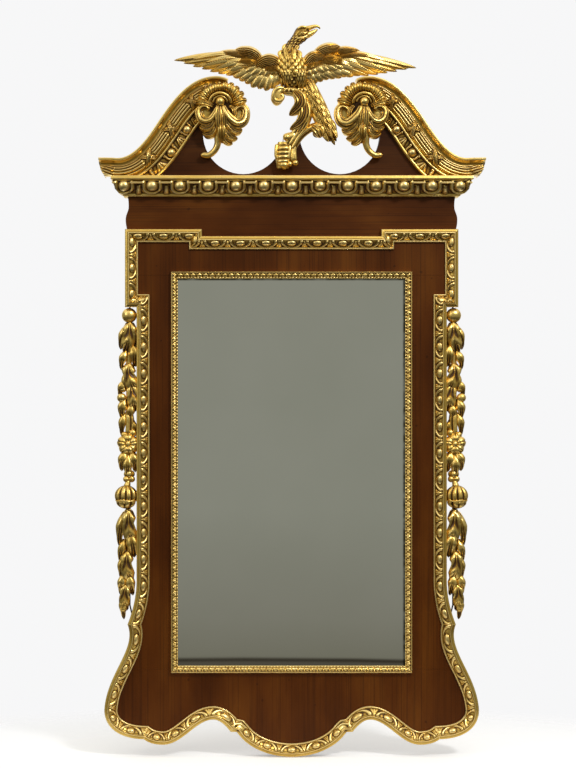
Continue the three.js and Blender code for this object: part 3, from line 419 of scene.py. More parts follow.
def gold_leaf(name, added_shade, lumps):
    """Gold leaf over red clay, painted darker in its hollows as shade and lighter on its crests; the second
    number adds painted shade all over, and lumps is its tool marks' depth.
    """
    made, tree = new_material(name)
    painted_shade = tree.node("Attribute", attribute_name="painted_shade").outputs["Fac"]
    blotches, wear = noise(tree, 26.0, 4.0), noise(tree, 160.0, 3.0)
    uneven = tree.maths("MULTIPLY", tree.maths("SUBTRACT", blotches, 0.5), 0.5)
    # painted shade from the hollows plus the amount added all over, with random blotches of tone
    tone_and_shade = tree.maths("ADD", tree.maths("ADD", painted_shade, added_shade), uneven)
    gold = tree.ramp(tone_and_shade, (0.18, (1.0, 0.76, 0.32)), (0.42, (0.90, 0.62, 0.17)), (0.60, (0.66, 0.42, 0.09)),
                     (0.80, (0.27, 0.14, 0.022)), (0.97, (0.07, 0.028, 0.006)))
    gold = tree.mixed(0.55, gold, tree.ramp(wear, (0.66, 1.0), (0.74, 0.62)), "MULTIPLY")
    back = behind(tree)
    ochre = tree.ramp(blotches, (0.35, (0.22, 0.13, 0.045)), (0.65, (0.36, 0.22, 0.08)))
    rough = tree.maths("ADD", blotches, tree.maths("MULTIPLY", wear, 0.3))
    cuts = tree.maths("MULTIPLY", noise(tree, 125.0, 2.0), lumps)
    # the leaf is less metallic where the painted shade is deepest
    metal = tree.mixed(back, tree.ramp(tone_and_shade, (0.60, 0.97), (0.95, 0.45)), (0.0, 0.0, 0.0))
    surface(tree, tree.mixed(back, gold, ochre), tree.ramp(rough, (0.45, 0.26), (0.85, 0.44)),
            tree.maths("ADD", noise(tree, 330.0, 3.0), cuts), 0.0004, Metallic=metal)
    return made


gilding = gold_leaf("water gilding", 0.05, 1.5)
# The figures' gilding gets much more painted shade all over than the mouldings', and deeper tool marks.
figure_gilding = gold_leaf("gilding of the figures", 0.37, 5.0)


def blurred(values, reach):
    """A square of numbers averaged over reach cells each way, three times over."""
    for axis in (0, 1, 0, 1, 0, 1):
        margin = [(reach + 1, reach) if k == axis else (0, 0) for k in (0, 1)]
        run = np.cumsum(np.pad(values, margin, mode="edge"), axis=axis)
        size, span = values.shape[axis], 2 * reach + 1
        values = (np.take(run, range(span, span + size), axis) - np.take(run, range(size), axis)) / span
    return values


def numbers_of(items, what, each, kind=float):
    values = np.empty(len(items) * each, kind)
    items.foreach_get(what, values)
    return values.reshape(-1, each)


GROOVES = {4: 0.0008, 12: 0.0018}  # after so many rounds of smoothing, how deep a full groove lies


def mark_painted_shade(mesh, shade_depth):
    """Stores for each point its painted shade: 0 on a crest, 0.5 flat, 1 in a groove.

    Grooves are found along the surface, and painted shade between pieces from what stands out in front."""
    points, normals = numbers_of(mesh.vertices, "co", 3), numbers_of(mesh.vertex_normals, "vector", 3)
    a, b = numbers_of(mesh.edges, "vertices", 2, np.int32).T
    count = len(points)
    degree = np.maximum(np.bincount(a, minlength=count) + np.bincount(b, minlength=count), 1)
    smooth, found = points, 0.5
    for turn in range(1, max(GROOVES) + 1):
        smooth = np.column_stack([
            (np.bincount(a, smooth[b, k], count) + np.bincount(b, smooth[a, k], count)) / degree
            for k in range(3)
        ])
        if turn in GROOVES:
            found = found + 0.5 * ((smooth - points) * normals).sum(1) / GROOVES[turn]
    # painted shade where another piece stands out in front of this point
    if shade_depth:
        cell, margin, empty = 0.0015, 8, -1.0
        spots = np.vstack((points, (points[a] + points[b]) / 2))
        place = ((spots[:, [0, 2]] - spots[:, [0, 2]].min(0)) / cell).astype(int) + margin
        front = np.full(place.max(0) + margin + 1, empty)
        np.maximum.at(front, (place[:, 0], place[:, 1]), -spots[:, 1])
        filled = front > empty
        nearby = blurred(np.where(filled, front, 0.0), 2) / np.maximum(blurred(filled.astype(float), 2), 0.05)
        nearby = nearby[place[:count, 0], place[:count, 1]]
        found = found + np.clip((nearby + points[:, 1]) / shade_depth, -0.12, 0.6)
    mesh.attributes.new("painted_shade", "FLOAT", "POINT").data.foreach_set("value", np.clip(found, 0, 1))


def gild(name, bodies, nodes_replaced, mirrored=False, shade_depth=0.0, leaf_of=gilding):
    """One carved and gilded piece from closed bodies, in place of its CAD solid."""
    points, faces = [], []
    for body_points, body_faces in bodies:
        count = sum(map(len, points))
        points.append(in_frame(body_points, mirrored))
        way = -1 if mirrored else 1
        faces += [[index + count for index in face[::way]] for face in body_faces]
    piece = add_object(name, np.vstack(points), faces)
    mesh = piece.data
    mesh.polygons.foreach_set("use_smooth", [True] * len(mesh.polygons))
    mesh.set_sharp_from_angle(angle=math.radians(55))
    mark_painted_shade(mesh, shade_depth)
    mesh.materials.append(leaf_of)
    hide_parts(*nodes_replaced)
    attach(piece, "mirror")


def one_piece(node, bodies, **options):
    gild(f"{node}_carved", bodies, [node], **options)


def both_sides(node, bodies, **options):
    """A right-hand piece and its mirror image."""
    for side in ("right", "left"):
        one_piece(f"{node}_{side}", bodies, mirrored=side == "left", **options)


head_y = 1034
ear_step = 14
ear_inner, ear_x, side_x = 178, 331, 308
ear_bottom, swell_top = 893, 350
swell, hip, toe, lobe_low = (326, 263), (372, 93), (294, 35), (255, 24)
arch_top, ledge, ledge_end = (156, 74), (121, 49.5), (109, 49.5)

side_line = chained(
    [(side_x, ear_bottom), (side_x, swell_top)],
    bezier((side_x, swell_top), (side_x, 315), (swell[0] - 8, swell[1] + 20), swell),
)
foot_line = chained(
    bezier(swell, (306, 215), (368, 165), hip), bezier(hip, (372, 60), (345, 36), toe)
)
lobe_line = chained(
    bezier(toe, (283, 27), (270, 24), lobe_low),
    bezier(lobe_low, (217, 24), (190, 74), arch_top),
    bezier(arch_top, (142, 74), (131, 62), ledge),
)
apron_curve = chained([ledge, ledge_end], bezier(ledge_end, (90, 20), (48, 0), (0, 0)))
apron_line = chained(apron_curve, apron_curve[::-1] * (-1, 1))


def bisector(before, corner, after):
    """The mitre's direction at a corner of the clockwise edge."""
    x, y = unit(np.subtract(corner, before)) + unit(np.subtract(after, corner))
    return (y, -x)


head_run = [(-ear_inner, head_y), (ear_inner, head_y)]
ear_top = head_y + ear_step
runs = [
    ("ear_top_moulding", [(ear_inner, head_y), (ear_inner, ear_top)]),
    ("ear_top_moulding", [(ear_inner, ear_top), (ear_x, ear_top)]),
    ("ear_side_moulding", [(ear_x, ear_top), (ear_x, ear_bottom)]),
    ("ear_side_moulding", [(ear_x, ear_bottom), (side_x, ear_bottom)]),
    ("side_moulding", side_line),
    ("foot_moulding", foot_line),
    ("lobe_moulding", lobe_line),
]
lines = [head_run] + [line for node, line in runs] + [apron_line]
lengths = {}
for (node, line), earlier, later in zip(runs, lines, lines[2:]):
    first = bisector(earlier[-2], line[0], line[1])
    last = bisector(line[-2], line[-1], later[1])
    length = swept(line, first, last, MOULDING_PROFILE, CARVING_STEP, moulding_relief)
    lengths.setdefault(node, []).append(length)
for node, bodies in lengths.items():
    both_sides(node, bodies)
for node, line, (x, y) in (
    ("head_moulding", head_run, bisector(*head_run, runs[0][1][1])),
    ("apron_moulding", apron_line, bisector(lobe_line[-2], ledge, ledge_end)),
):
    ends = ((-x, y), (x, y)) if node == "head_moulding" else ((x, y), (-x, y))
    one_piece(node, [swept(line, *ends, MOULDING_PROFILE, CARVING_STEP, moulding_relief)])

# ---- Slip round the glass ------------------------------------------------------------------
# A narrow gilt moulding mitred round the glass: a thin outer bead, a band of small leaves and a
# scalloped inner edge that laps over the glass.
SLIP_PITCH = 12.6
SLIP_BAND = (3.8, 11.0)  # where its leaves start and end, as distances in
SLIP_PROFILE = [
    (0.0, 0.0), (0.0, 5.0), (0.6, 7.2), (1.7, 8.2), (3.0, 7.9), (3.6, 6.4), (4.4, 6.2), (6.0, 6.6),
    (8.0, 6.2), (9.6, 5.2), (10.8, 3.9), (11.3, 3.2), (12.0, 3.9), (13.0, 3.9), (13.8, 3.0),
    (14.0, 2.0), (14.0, 0.0),
]


def slip_relief(where, off, around, length):
    x = np.abs(where / (length / round(length / SLIP_PITCH)) % 1 - 0.5) * SLIP_PITCH
    across = off - SLIP_BAND[0]
    half = 1.2 + 4.6 * np.clip(across / 7, 0, 1) ** 0.6
    lobe = np.sqrt(np.clip(1 - (x / half) ** 2, 0, 1)) * (0.8 + 0.35 * np.cos(2 * np.pi * x / 3.1))
    tip = np.clip(1 - ((SLIP_PITCH / 2 - x) / 1.6) ** 2, 0, 1) * np.clip(1 - across / 4, 0, 1)
    band = within(across, SLIP_BAND[1] - SLIP_BAND[0])
    scallop = np.abs(np.sin(np.pi * where / SLIP_PITCH * 2))
    edge = (off > 11.3) * (scallop - 0.75) * np.clip((14 - off) / 0.6, 0, 1)
    return 1.7 * (np.maximum(lobe, tip) - 0.45) * band + 1.3 * edge


slip_x, slip_low, slip_high = 240, 166, 964
corners = [(-slip_x, slip_high), (slip_x, slip_high), (slip_x, slip_low), (-slip_x, slip_low)]
for side in ("top", "right", "bottom", "left"):
    before, start, end, after = corners[-1], corners[0], corners[1], corners[2]
    mitres = bisector(before, start, end), bisector(start, end, after)
    one_piece(f"slip_{side}", [swept([start, end], *mitres, SLIP_PROFILE, 1.0, slip_relief)])
    corners = corners[1:] + corners[:1]

# ---- Cornice -------------------------------------------------------------------------------
# A stout gilt moulding planted across the frieze and returned to the wall: a plain upper fillet
# over an ovolo of large balls in deep collars, hooked together at the top with darts between.
CORNICE_LOW = 1112  # its lower edge
CORNICE_PITCH = 55.4  # from one ball to the next
CORNICE_PROFILE = [  # [out from the frieze, up from the lower edge], from the top
    (0.0, 40.0), (30.0, 40.0), (31.0, 39.2), (32.4, 34.0), (31.2, 32.4), (28.6, 31.6), (27.6, 28.6),
    (27.0, 24.0), (25.2, 19.0), (22.2, 14.2), (18.4, 9.8), (13.4, 6.2), (9.6, 4.4), (8.6, 4.2),
    (8.8, 2.6), (7.4, 1.0), (5.4, 0.4), (3.0, 0.0), (0.0, 0.0),
]
CORNICE_OVOLO = (43.5, 76.8)  # where the carving starts and ends, measured round the profile
CORNICE_BALL = 11.4


def collars(from_ball, across, pitch, width, radius, depth, leafy=1.0):
    """Relief of deep collars round balls, hooked together along the open side, with darts between.

    Where leafy is more than 1 the darts are leaves and the hooks stop short of them."""
    x = np.abs((from_ball / pitch + 0.5) % 1 - 0.5) * pitch
    size = radius / 11
    reach = np.hypot(x, np.clip(across - radius * 1.12, 0, None))
    arm = np.clip(1 - ((reach - radius - 4.6 * size) / (2.7 * size)) ** 2, 0, 1) ** 0.6
    hook = np.clip(1 - ((across - 3.4 * size) / (3.0 * size)) ** 2, 0, 1) ** 0.6 * (x > radius + 3 * size)
    thick = (1.2 + 4.4 * across / width) * size * leafy
    dart = np.clip(1 - ((pitch / 2 - x) / thick) ** 2, 0, 1) ** 0.5 * (across > 10 * size / leafy)
    if leafy > 1:
        dart = dart * (1.2 + 0.3 * np.cos(2 * np.pi * (pitch / 2 - x) / (0.62 * thick)))
        hook = hook * (x < radius + 9 * size)
    return (np.maximum.reduce((0.80 * arm, 1.0 * hook, 0.62 * dart)) - 0.5) * within(across, width) * depth


def cornice_relief(where, off, around, length):
    width = CORNICE_OVOLO[1] - CORNICE_OVOLO[0]
    from_middle, across = where - length / 2, around - CORNICE_OVOLO[0]
    return collars(from_middle, across, CORNICE_PITCH, width, CORNICE_BALL, 5.4)


def as_cornice(plan, start_mitre, end_mitre, step, relief):
    """A moulding swept in plan and then stood up."""
    points, faces = swept(plan, start_mitre, end_mitre, CORNICE_PROFILE, step, relief, CORNICE_LOW)
    return points[:, [0, 2, 1]], [face[::-1] for face in faces]


def ball(middle, radii, ribs=0, depth=0.08, sides=28, rows=18):
    """A carved ball or fruit standing upright, with ribs from top to bottom."""
    level = np.linspace(0.04, math.pi - 0.04, rows)[:, None]
    angle = np.linspace(0, 2 * np.pi, sides, endpoint=False)
    swell = 1 + (depth if ribs else 0) * (np.abs(np.cos(ribs * angle / 2)) - 0.6) * np.sin(level)
    x = middle[0] + radii[0] * np.sin(level) * np.cos(angle) * swell
    y = middle[1] + radii[1] * np.cos(level) + 0 * x
    return shell(np.dstack((x, y, middle[2] + radii[2] * np.sin(level) * np.sin(angle) * swell)))


cornice_plan = [(326, 0), (326, 22), (-326, 22), (-326, 0)]
x, y = bisector(*cornice_plan[:3])
one_piece("cornice_front", [as_cornice(cornice_plan[1:3], (x, y), (-x, y), 1.1, cornice_relief)] + [
    ball((CORNICE_PITCH * k, CORNICE_LOW + 20.4, BOARD_FACE + 22.4), (10.8, 11.0, 9.6)) for k in range(-6, 7)
])
both_sides("cornice_return", [as_cornice(cornice_plan[:2], (1, 0), (x, y), 1.3, None)])

# ---- Swan necks ----------------------------------------------------------------------------
# Two curved lengths carved in one with their capping: a bold plain cap and cove, a reeded torus
# tied with crossed ribbons, a thin fillet, and a band of round balls between leaves. Each is
# returned to the wall at its outer end, under a leaf, and dies into the rosette at its inner end.
NECK_HOME = (352, 1187)
NECK_LINE = chained(
    bezier((126, 1342), (133, 1346), (141, 1348), (150, 1348), steps=16),
    bezier((150, 1348), (202, 1348), (236, 1301), (265, 1257), steps=60),
    bezier((265, 1257), (293, 1214), (320, 1181), NECK_HOME, steps=60),
    [NECK_HOME, (388, 1187.5)],
)
CORNICE_TOP = 1152.3
ROSETTE = (142, 1296)  # the middle of the right-hand one
NECK_CAP = [
    (0.0, 0.0), (0.0, 29.0), (0.4, 31.0), (1.4, 32.0), (4.6, 32.0), (5.6, 30.6), (6.0, 28.6),
    (7.4, 25.8), (9.4, 23.6), (11.6, 22.2), (13.4, 21.8), (14.0, 21.4), (14.0, 0.0),
]
NECK_FACE = [
    (13.6, 0.0), (13.6, 20.6), (15.6, 21.4), (17.0, 23.0), (20.0, 25.2), (24.0, 26.2), (28.0, 26.0),
    (32.0, 24.4), (36.0, 21.4), (39.0, 18.0), (40.6, 15.4), (41.4, 16.8), (43.2, 17.6), (45.0, 16.8),
    (45.6, 12.6), (50.0, 11.6), (54.0, 10.4), (58.0, 8.6), (61.4, 6.6), (62.4, 7.6), (64.4, 8.0),
    (66.2, 6.8), (67.0, 4.6), (67.0, 0.0),
]
NECK_END = [(0, 30.5), (12, 29.5), (24, 26), (35, 19), (45, 8), (52, 2), (67, 0)]  # how far it runs on
RIBBONS = (56, 121, 196)  # distances from the outer end to the crossed ribbons
REEDS, REED_PITCH = (16.0, 39.2), 5.8
BALL_BAND = (45.6, 61.6)
FIRST_BALL, BALL_PITCH, BALL_OFF, BALL_RADIUS = 33, 54, 53.8, 8.0
RETURN_ROWS = 25  # rings from the outer end back to the wall


def neck_relief(where, off):
    """where runs from the outer end towards the rosette."""
    from_reeds = off - REEDS[0]
    torus = (off > REEDS[0]) & (off < REEDS[1])
    raised = 3.2 * (np.abs(np.sin(np.pi * from_reeds / REED_PITCH)) ** 0.8 - 0.9) * torus
    for middle in RIBBONS:
        run = where - middle
        near = np.clip((12.5 - np.abs(run)) / 2.0, 0, 1) * torus
        raised = raised * (1 - near) - 1.4 * near
        for lean in (0.8, -0.8):
            band = np.abs(run - lean * (off - 27.6))
            strap = np.clip(1 - (band / 5.0) ** 6, 0, 1) * torus
            raised = np.where(strap > 0, strap * (1.6 + 1.0 * np.cos(2 * np.pi * band / 3.4)), raised)
    leaf_edge = -6 + 8 * np.abs(np.sin(np.pi * from_reeds / (2 * REED_PITCH)))
    leaf_end = np.clip((leaf_edge - where) / 2, 0, 1) * (off > 15) * (off < 60)
    ribs = 0.6 + 1.5 * np.cos(2 * np.pi * (from_reeds - 0.3 * (where + 30)) / REED_PITCH)
    raised = raised * (1 - leaf_end) + ribs * leaf_end
    across, width = off - BALL_BAND[0], BALL_BAND[1] - BALL_BAND[0]
    carved = collars(where - FIRST_BALL, across, BALL_PITCH, width, BALL_RADIUS, 5.0, leafy=2.6)
    return np.where((across > 0) & (across < width) & (where > 8), carved, raised)


def neck_ways(step):
    """The neck's top edge as points, the distance run along it, and the way in from each point."""
    path = finely(NECK_LINE, step)
    run = run_along(path)
    home = run[-1] - np.linalg.norm(path[-1] - np.array(NECK_HOME))
    upright = np.clip(1 - (home - run) / 40, 0, 1)[:, None]
    inward = unit(np.gradient(path, axis=0))[:, ::-1] * (1, -1)
    return path, run, home, unit(inward * (1 - upright) + np.array([0.0, -1.0]) * upright)


def neck_piece(profile, step, carved, stop_radius):
    """A neck's cap or carved face, from the rosette to its mitred outer end and back to the wall."""
    path, run, home, inward = neck_ways(step)
    clear = np.linalg.norm(path + inward * 40 - ROSETTE, axis=1) > stop_radius
    start = run[np.argmax(clear)] if stop_radius else 0.0
    outline = finely(profile, 0.8)
    rows = int((home + 26 - start) / step)
    off, height = (np.tile(outline[:, k], (rows, 1)) for k in (0, 1))
    runs_on = np.interp(off, *np.array(NECK_END, float).T)
    where = start + np.linspace(0, 1, rows)[:, None] * (home + runs_on - start)
    if carved:
        closing = np.clip(1 - (home + runs_on - where) / 6, 0, 1) ** 2
        height = height + (neck_relief(home - where, off) - 3.0 * closing) * (height > 4)
    x, y = (np.interp(where, run, path[:, k]) + np.interp(where, run, inward[:, k]) * off for k in (0, 1))
    grid = np.dstack((x, y, BOARD_FACE + height))
    level = np.linspace(1, 0, RETURN_ROWS + 1)[1:, None, None]
    return np.vstack((grid, grid[-1] * np.concatenate((level**0, level**0, level), axis=2)))


def cut_above_cornice(body):
    """The part of a body that stands clear above the cornice, closed again where it is cut."""
    points, faces = body
    cut = bmesh.new()
    made = [cut.verts.new(point) for point in points]
    for face in faces:
        cut.faces.new([made[index] for index in face])
    whole = cut.verts[:] + cut.edges[:] + cut.faces[:]
    result = bmesh.ops.bisect_plane(
        cut, geom=whole, plane_co=(0, CORNICE_TOP, 0), plane_no=(0, -1, 0), clear_outer=True
    )
    edges = [part for part in result["geom_cut"] if isinstance(part, bmesh.types.BMEdge)]
    bmesh.ops.holes_fill(cut, edges=edges)
    cut.verts.index_update()
    body = np.array([vert.co[:] for vert in cut.verts]), [[v.index for v in f.verts] for f in cut.faces]
    cut.free()
    return body


neck_path, neck_run, neck_home, neck_inward = neck_ways(1.0)
neck_balls = []
for k in range(5):
    where = neck_home - FIRST_BALL - k * BALL_PITCH
    x, y = (np.interp(where, neck_run, neck_path[:, i] + neck_inward[:, i] * BALL_OFF) for i in (0, 1))
    if math.hypot(x - ROSETTE[0], y - ROSETTE[1]) > 34 and y > CORNICE_TOP + 4:
        neck_balls.append(ball((x, y, BOARD_FACE + 9.4), (8.2, 8.2, 8.0)))
both_sides("swan_neck_cap", [cut_above_cornice(shell(neck_piece(NECK_CAP, 2.4, False, 0)))])
neck = [shell(neck_piece(NECK_FACE, 1.0, True, 24))] + neck_balls
both_sides("swan_neck", [cut_above_cornice(body) for body in neck])

# ---- Leaf rosettes -------------------------------------------------------------------------
# Carved softwood bosses at the inner ends of the necks: a ball under an arched collar, ruffled
# lobes round its top, a scroll curling each way, a long hanging leaf and a hooked tendril.
def smooth_line(points, count):
    """Equal steps of a soft curve through points of any number of values."""
    points = np.array(points, float)
    if len(points) == 2:
        return points[0] + (points[1] - points[0]) * np.linspace(0, 1, count)[:, None]
    padded = np.vstack((2 * points[0] - points[1], points, 2 * points[-1] - points[-2]))
    t = np.linspace(0, 1, 16, endpoint=False)[:, None]
    fine = [
        0.5 * (2 * b + (c - a) * t + (2 * a - 5 * b + 4 * c - d) * t**2 + (3 * b - a - 3 * c + d) * t**3)
        for a, b, c, d in zip(padded, padded[1:], padded[2:], padded[3:])
    ]
    fine = np.vstack(fine + [points[-1:]])
    run = run_along(fine[:, :3])
    where = np.linspace(0, run[-1], count)
    return np.column_stack([np.interp(where, run, values) for values in fine.T])


def directions(line, roll=0.0):
    """Side and front of each point of a line whose front looks out from the wall."""
    along = unit(np.gradient(line, axis=0))
    side = unit(np.cross(along, (0, 0, 1.0)))
    front = np.cross(side, along)
    turn = np.radians(roll)
    return side * math.cos(turn) + front * math.sin(turn), front * math.cos(turn) - side * math.sin(turn)


def leaf(points, width, crown=0.3, veins=0.0, lobes=0, thick=5.0, roll=0.0, blunt=0.0, barbs=0.0,
         midrib=0.0, step=1.5):
    """A carved leaf or feather through points [x, y, z]: crown is its rise, as a share of width.

    veins are grooves along it, lobes the forward teeth of its edge, barbs the spacing of slanting cuts
    and midrib the height of a middle rib. It tapers to a point, or with blunt up to 1 to a round end."""
    length = run_along(points)[-1]
    rows = max(8, int(length / step))
    line = smooth_line(points, rows)
    t = np.linspace(0, 1, rows)[:, None]
    pointed = np.sin(np.pi * np.clip(0.18 + 0.82 * t**0.85, 0, 1)) ** 0.8
    rounded = np.minimum(0.55 + 0.9 * t, 1) * (1 - np.clip((t - 0.72) / 0.28, 0, 1) ** 2.4) ** 0.5
    taper = np.maximum(pointed * (1 - blunt) + rounded * blunt, 0.06)
    if lobes:
        tooth = (lobes * t + 0.3) % 1
        taper = taper * (0.66 + 0.34 * np.minimum(tooth / 0.72, (1 - tooth) / 0.28))
    across = np.linspace(-1, 1, 15)
    out = np.abs(across)
    half = width / 2 * taper
    rise = crown * width * taper * (1 - out**2.4)
    if veins:
        rise = rise + 0.065 * width * taper * np.cos(np.pi * veins * across)
    if lobes:
        rise = rise + 0.05 * width * np.cos(2 * np.pi * (lobes * t - 0.7 * out))
    if barbs:
        rise = rise + 0.032 * width * np.cos(2 * np.pi * (t * length + 0.5 * width * out) / barbs)
    rise = rise + midrib * np.exp(-((across * half / 0.9) ** 2))
    line, side, front = (values[:, None] for values in (line, *directions(line, roll)))
    top = line + side * (across * half)[..., None] + front * rise[..., None]
    low = line - side * (across * half * 0.94)[..., None] - front * (thick * taper)[..., None]
    return shell(np.concatenate((top, low), axis=1))


def leaves(*shapes, **options):
    """Several leaves cut alike, each given as its width and then its points."""
    return [leaf(points, width, **options) for width, *points in shapes]


def tube(points, sides=14, step=1.7, reeds=0, twist=0.0, scales=None, depth=0.1):
    """A round carved stem through points [x, y, z, radius], with reeds or overlapping scales.

    scales is [how long one is, how many go round]; depth is a share of the radius or of that length."""
    points = np.array(points, float)
    length = run_along(points[:, :3])[-1]
    rows = max(6, int(length / step))
    line = smooth_line(points, rows)
    side, front = (values[:, None] for values in directions(line[:, :3]))
    angle = np.linspace(0, 2 * np.pi, max(sides, 6 * reeds), endpoint=False)
    run = np.linspace(0, length, rows)[:, None]
    ends = np.minimum(run, length - run) / (line[:, 3:] + 1e-6)
    radius = line[:, 3:] * np.sqrt(np.clip(1 - (1 - np.clip(ends, 0, 1)) ** 2, 0.02, 1)) + 0 * angle
    if reeds:
        radius = radius * (1 + depth * (2 * np.abs(np.cos(reeds * angle / 2 + twist * run)) - 1))
    if scales:
        long, round_count = scales
        row = run / long
        out = np.abs((angle * round_count / (2 * np.pi) + 0.5 * (np.floor(row) % 2)) % 1 - 0.5)
        radius = radius + depth * long * (row % 1 * (1.3 - 3.0 * out) - 0.5 * (out > 0.4))
    return shell(line[:, None, :3] + side * (np.cos(angle) * radius)[..., None]
                 + front * (np.sin(angle) * radius)[..., None])


def pad(outline, back, edge, crown):
    """A solid pillow with the given outline, its middle raised to crown."""
    count = 72
    line = smooth_line([*outline, outline[0]], count + 1)[:-1]
    middle = line.mean(axis=0)
    rings = [np.column_stack((line, np.full(count, float(back))))]
    for inward in (0.0, 0.12, 0.28, 0.45, 0.62, 0.8, 0.97):
        height = edge + (crown - edge) * math.sqrt(1 - (1 - inward) ** 2)
        rings.append(np.column_stack((middle + (line - middle) * (1 - inward), np.full(count, height))))
    return shell(np.array(rings))


def shifted(bodies, x, y):
    return [(points + (x, y, 0), faces) for points, faces in bodies]


side_leaf = {"crown": 0.34, "veins": 3.0, "thick": 12, "blunt": 0.6}
rosette = [
    pad([(8, 36), (-8, 38), (-24, 34), (-40, 21), (-50, 4), (-52, -18), (-48, -36), (-38, -56), (-22, -72),
         (-8, -74), (6, -64), (20, -56), (34, -46), (43, -28), (46, -8), (48, 12), (40, 28), (24, 34)],
        BOARD_FACE, 34, 40),
    ball((0, 1, 55), (8.8, 8.8, 9.4)),
    tube([(21, -3, 45, 3.6), (20, 6, 50, 3.0), (13, 14.5, 53, 2.7), (1, 18.5, 54, 2.7), (-11, 15.5, 53, 2.7),
          (-19, 8, 50, 3.0), (-22, -1, 45, 3.6)]),
    tube([(15, 0, 46, 2.6), (10, 9, 49, 2.2), (0, 12.8, 50, 2.2), (-10, 9, 49, 2.2), (-15, 1, 46, 2.6)]),
]
for root, tip, width, front in (
    ((2, 20), (1, 40), 12, 50), ((-7, 20), (-11, 42), 13, 51), ((-14, 16), (-24, 39), 14, 51),
    ((-19, 12), (-36, 31), 15, 51), ((-23, 6), (-46, 20), 15, 50), ((-25, -1), (-52, 6), 15, 48),
    ((8, 19), (13, 38), 13, 51), ((14, 15), (25, 33), 14, 51), ((18, 10), (36, 27), 14, 51),
    ((21, 5), (44, 17), 14, 49), ((21, -1), (49, 3), 13, 46),
):
    middle = [a * 0.45 + b * 0.55 for a, b in zip(root, tip)]
    rosette.append(leaf([(*root, front - 6), (*middle, front + 3), (*tip, front - 7)], width, 0.36, veins=3.0,
                        thick=12, blunt=0.9, step=1.1))
    for side in (-0.28, 0.28):
        curl = (tip[0] * 0.846 - side * tip[1] * 0.9, tip[1] * 0.846 + side * tip[0] * 0.9, front - 3)
        rosette.append(ball(curl, (3.6, 3.6, 4.4), sides=12, rows=8))
rosette += [
    tube([(-5, -6, 52, 4.4), (-10, -20, 54, 6.6), (-20, -34, 53, 8.6), (-33, -42, 50, 9.0),
          (-45, -38, 47, 8.2), (-51, -26, 45, 7.0), (-50, -12, 44, 6.0), (-42, -7, 44, 4.8),
          (-33, -12, 44, 4.0), (-31, -20, 43, 3.2)], reeds=4, depth=0.20),
    tube([(4, -8, 52, 4.0), (9, -22, 53, 5.6), (18, -34, 50, 6.8), (30, -37, 47, 7.0), (40, -30, 45, 6.4),
          (43, -17, 44, 5.6), (37, -8, 44, 4.8), (27, -8, 45, 4.0), (22, -15, 45, 3.2)], reeds=4, depth=0.20),
    leaf([(-20, -6, 46), (-27, -14, 48), (-28, -24, 47), (-22, -31, 46)], 11, 0.3, veins=3.0, thick=9,
         blunt=0.7),
    leaf([(14, -6, 46), (30, 0, 49), (42, -2, 46)], 12, 0.34, veins=3.0, thick=10, blunt=0.8),
    leaf([(-4, -58, 46), (-8, -72, 46), (-16, -79, 42), (-25, -80, 36)], 14, 0.34, veins=3.0, thick=11,
         blunt=0.5),
    leaf([(-2, -40, 52), (-3, -54, 54), (-3, -66, 51), (-4, -80, 42)], 18, 0.32, veins=5.0, thick=11,
         blunt=0.35),
    tube([(6, -52, 40, 7.0), (5, -66, 38, 7.2), (5, -80, 36, 6.8), (11, -93, 34, 6.4), (23, -102, 33, 6.0),
          (34, -101, 33, 5.4), (38, -99, 33, 5.0)]),
]
rosette += leaves(
    (17, (-10, -30, 50), (-20, -48, 51), (-33, -56, 47), (-44, -52, 41)),
    (16, (-8, -46, 48), (-14, -60, 49), (-24, -69, 45), (-35, -70, 39)), roll=-14, **side_leaf,
)
rosette += leaves(
    (16, (9, -28, 49), (18, -46, 49), (30, -50, 45), (41, -45, 39)),
    (15, (8, -42, 47), (15, -58, 47), (24, -62, 43), (35, -58, 37)), roll=14, **side_leaf,
)
rosette += leaves(
    (15, (3, -6, 53), (4, -24, 56), (3, -44, 54), (0, -66, 47)),
    (14, (-3, -6, 53), (-7, -24, 56), (-9, -42, 54), (-9, -60, 47)),
    crown=0.34, veins=3.0, thick=11, blunt=0.1,
)
both_sides("leaf_rosette", shifted(rosette, *ROSETTE), shade_depth=0.016, leaf_of=figure_gilding)

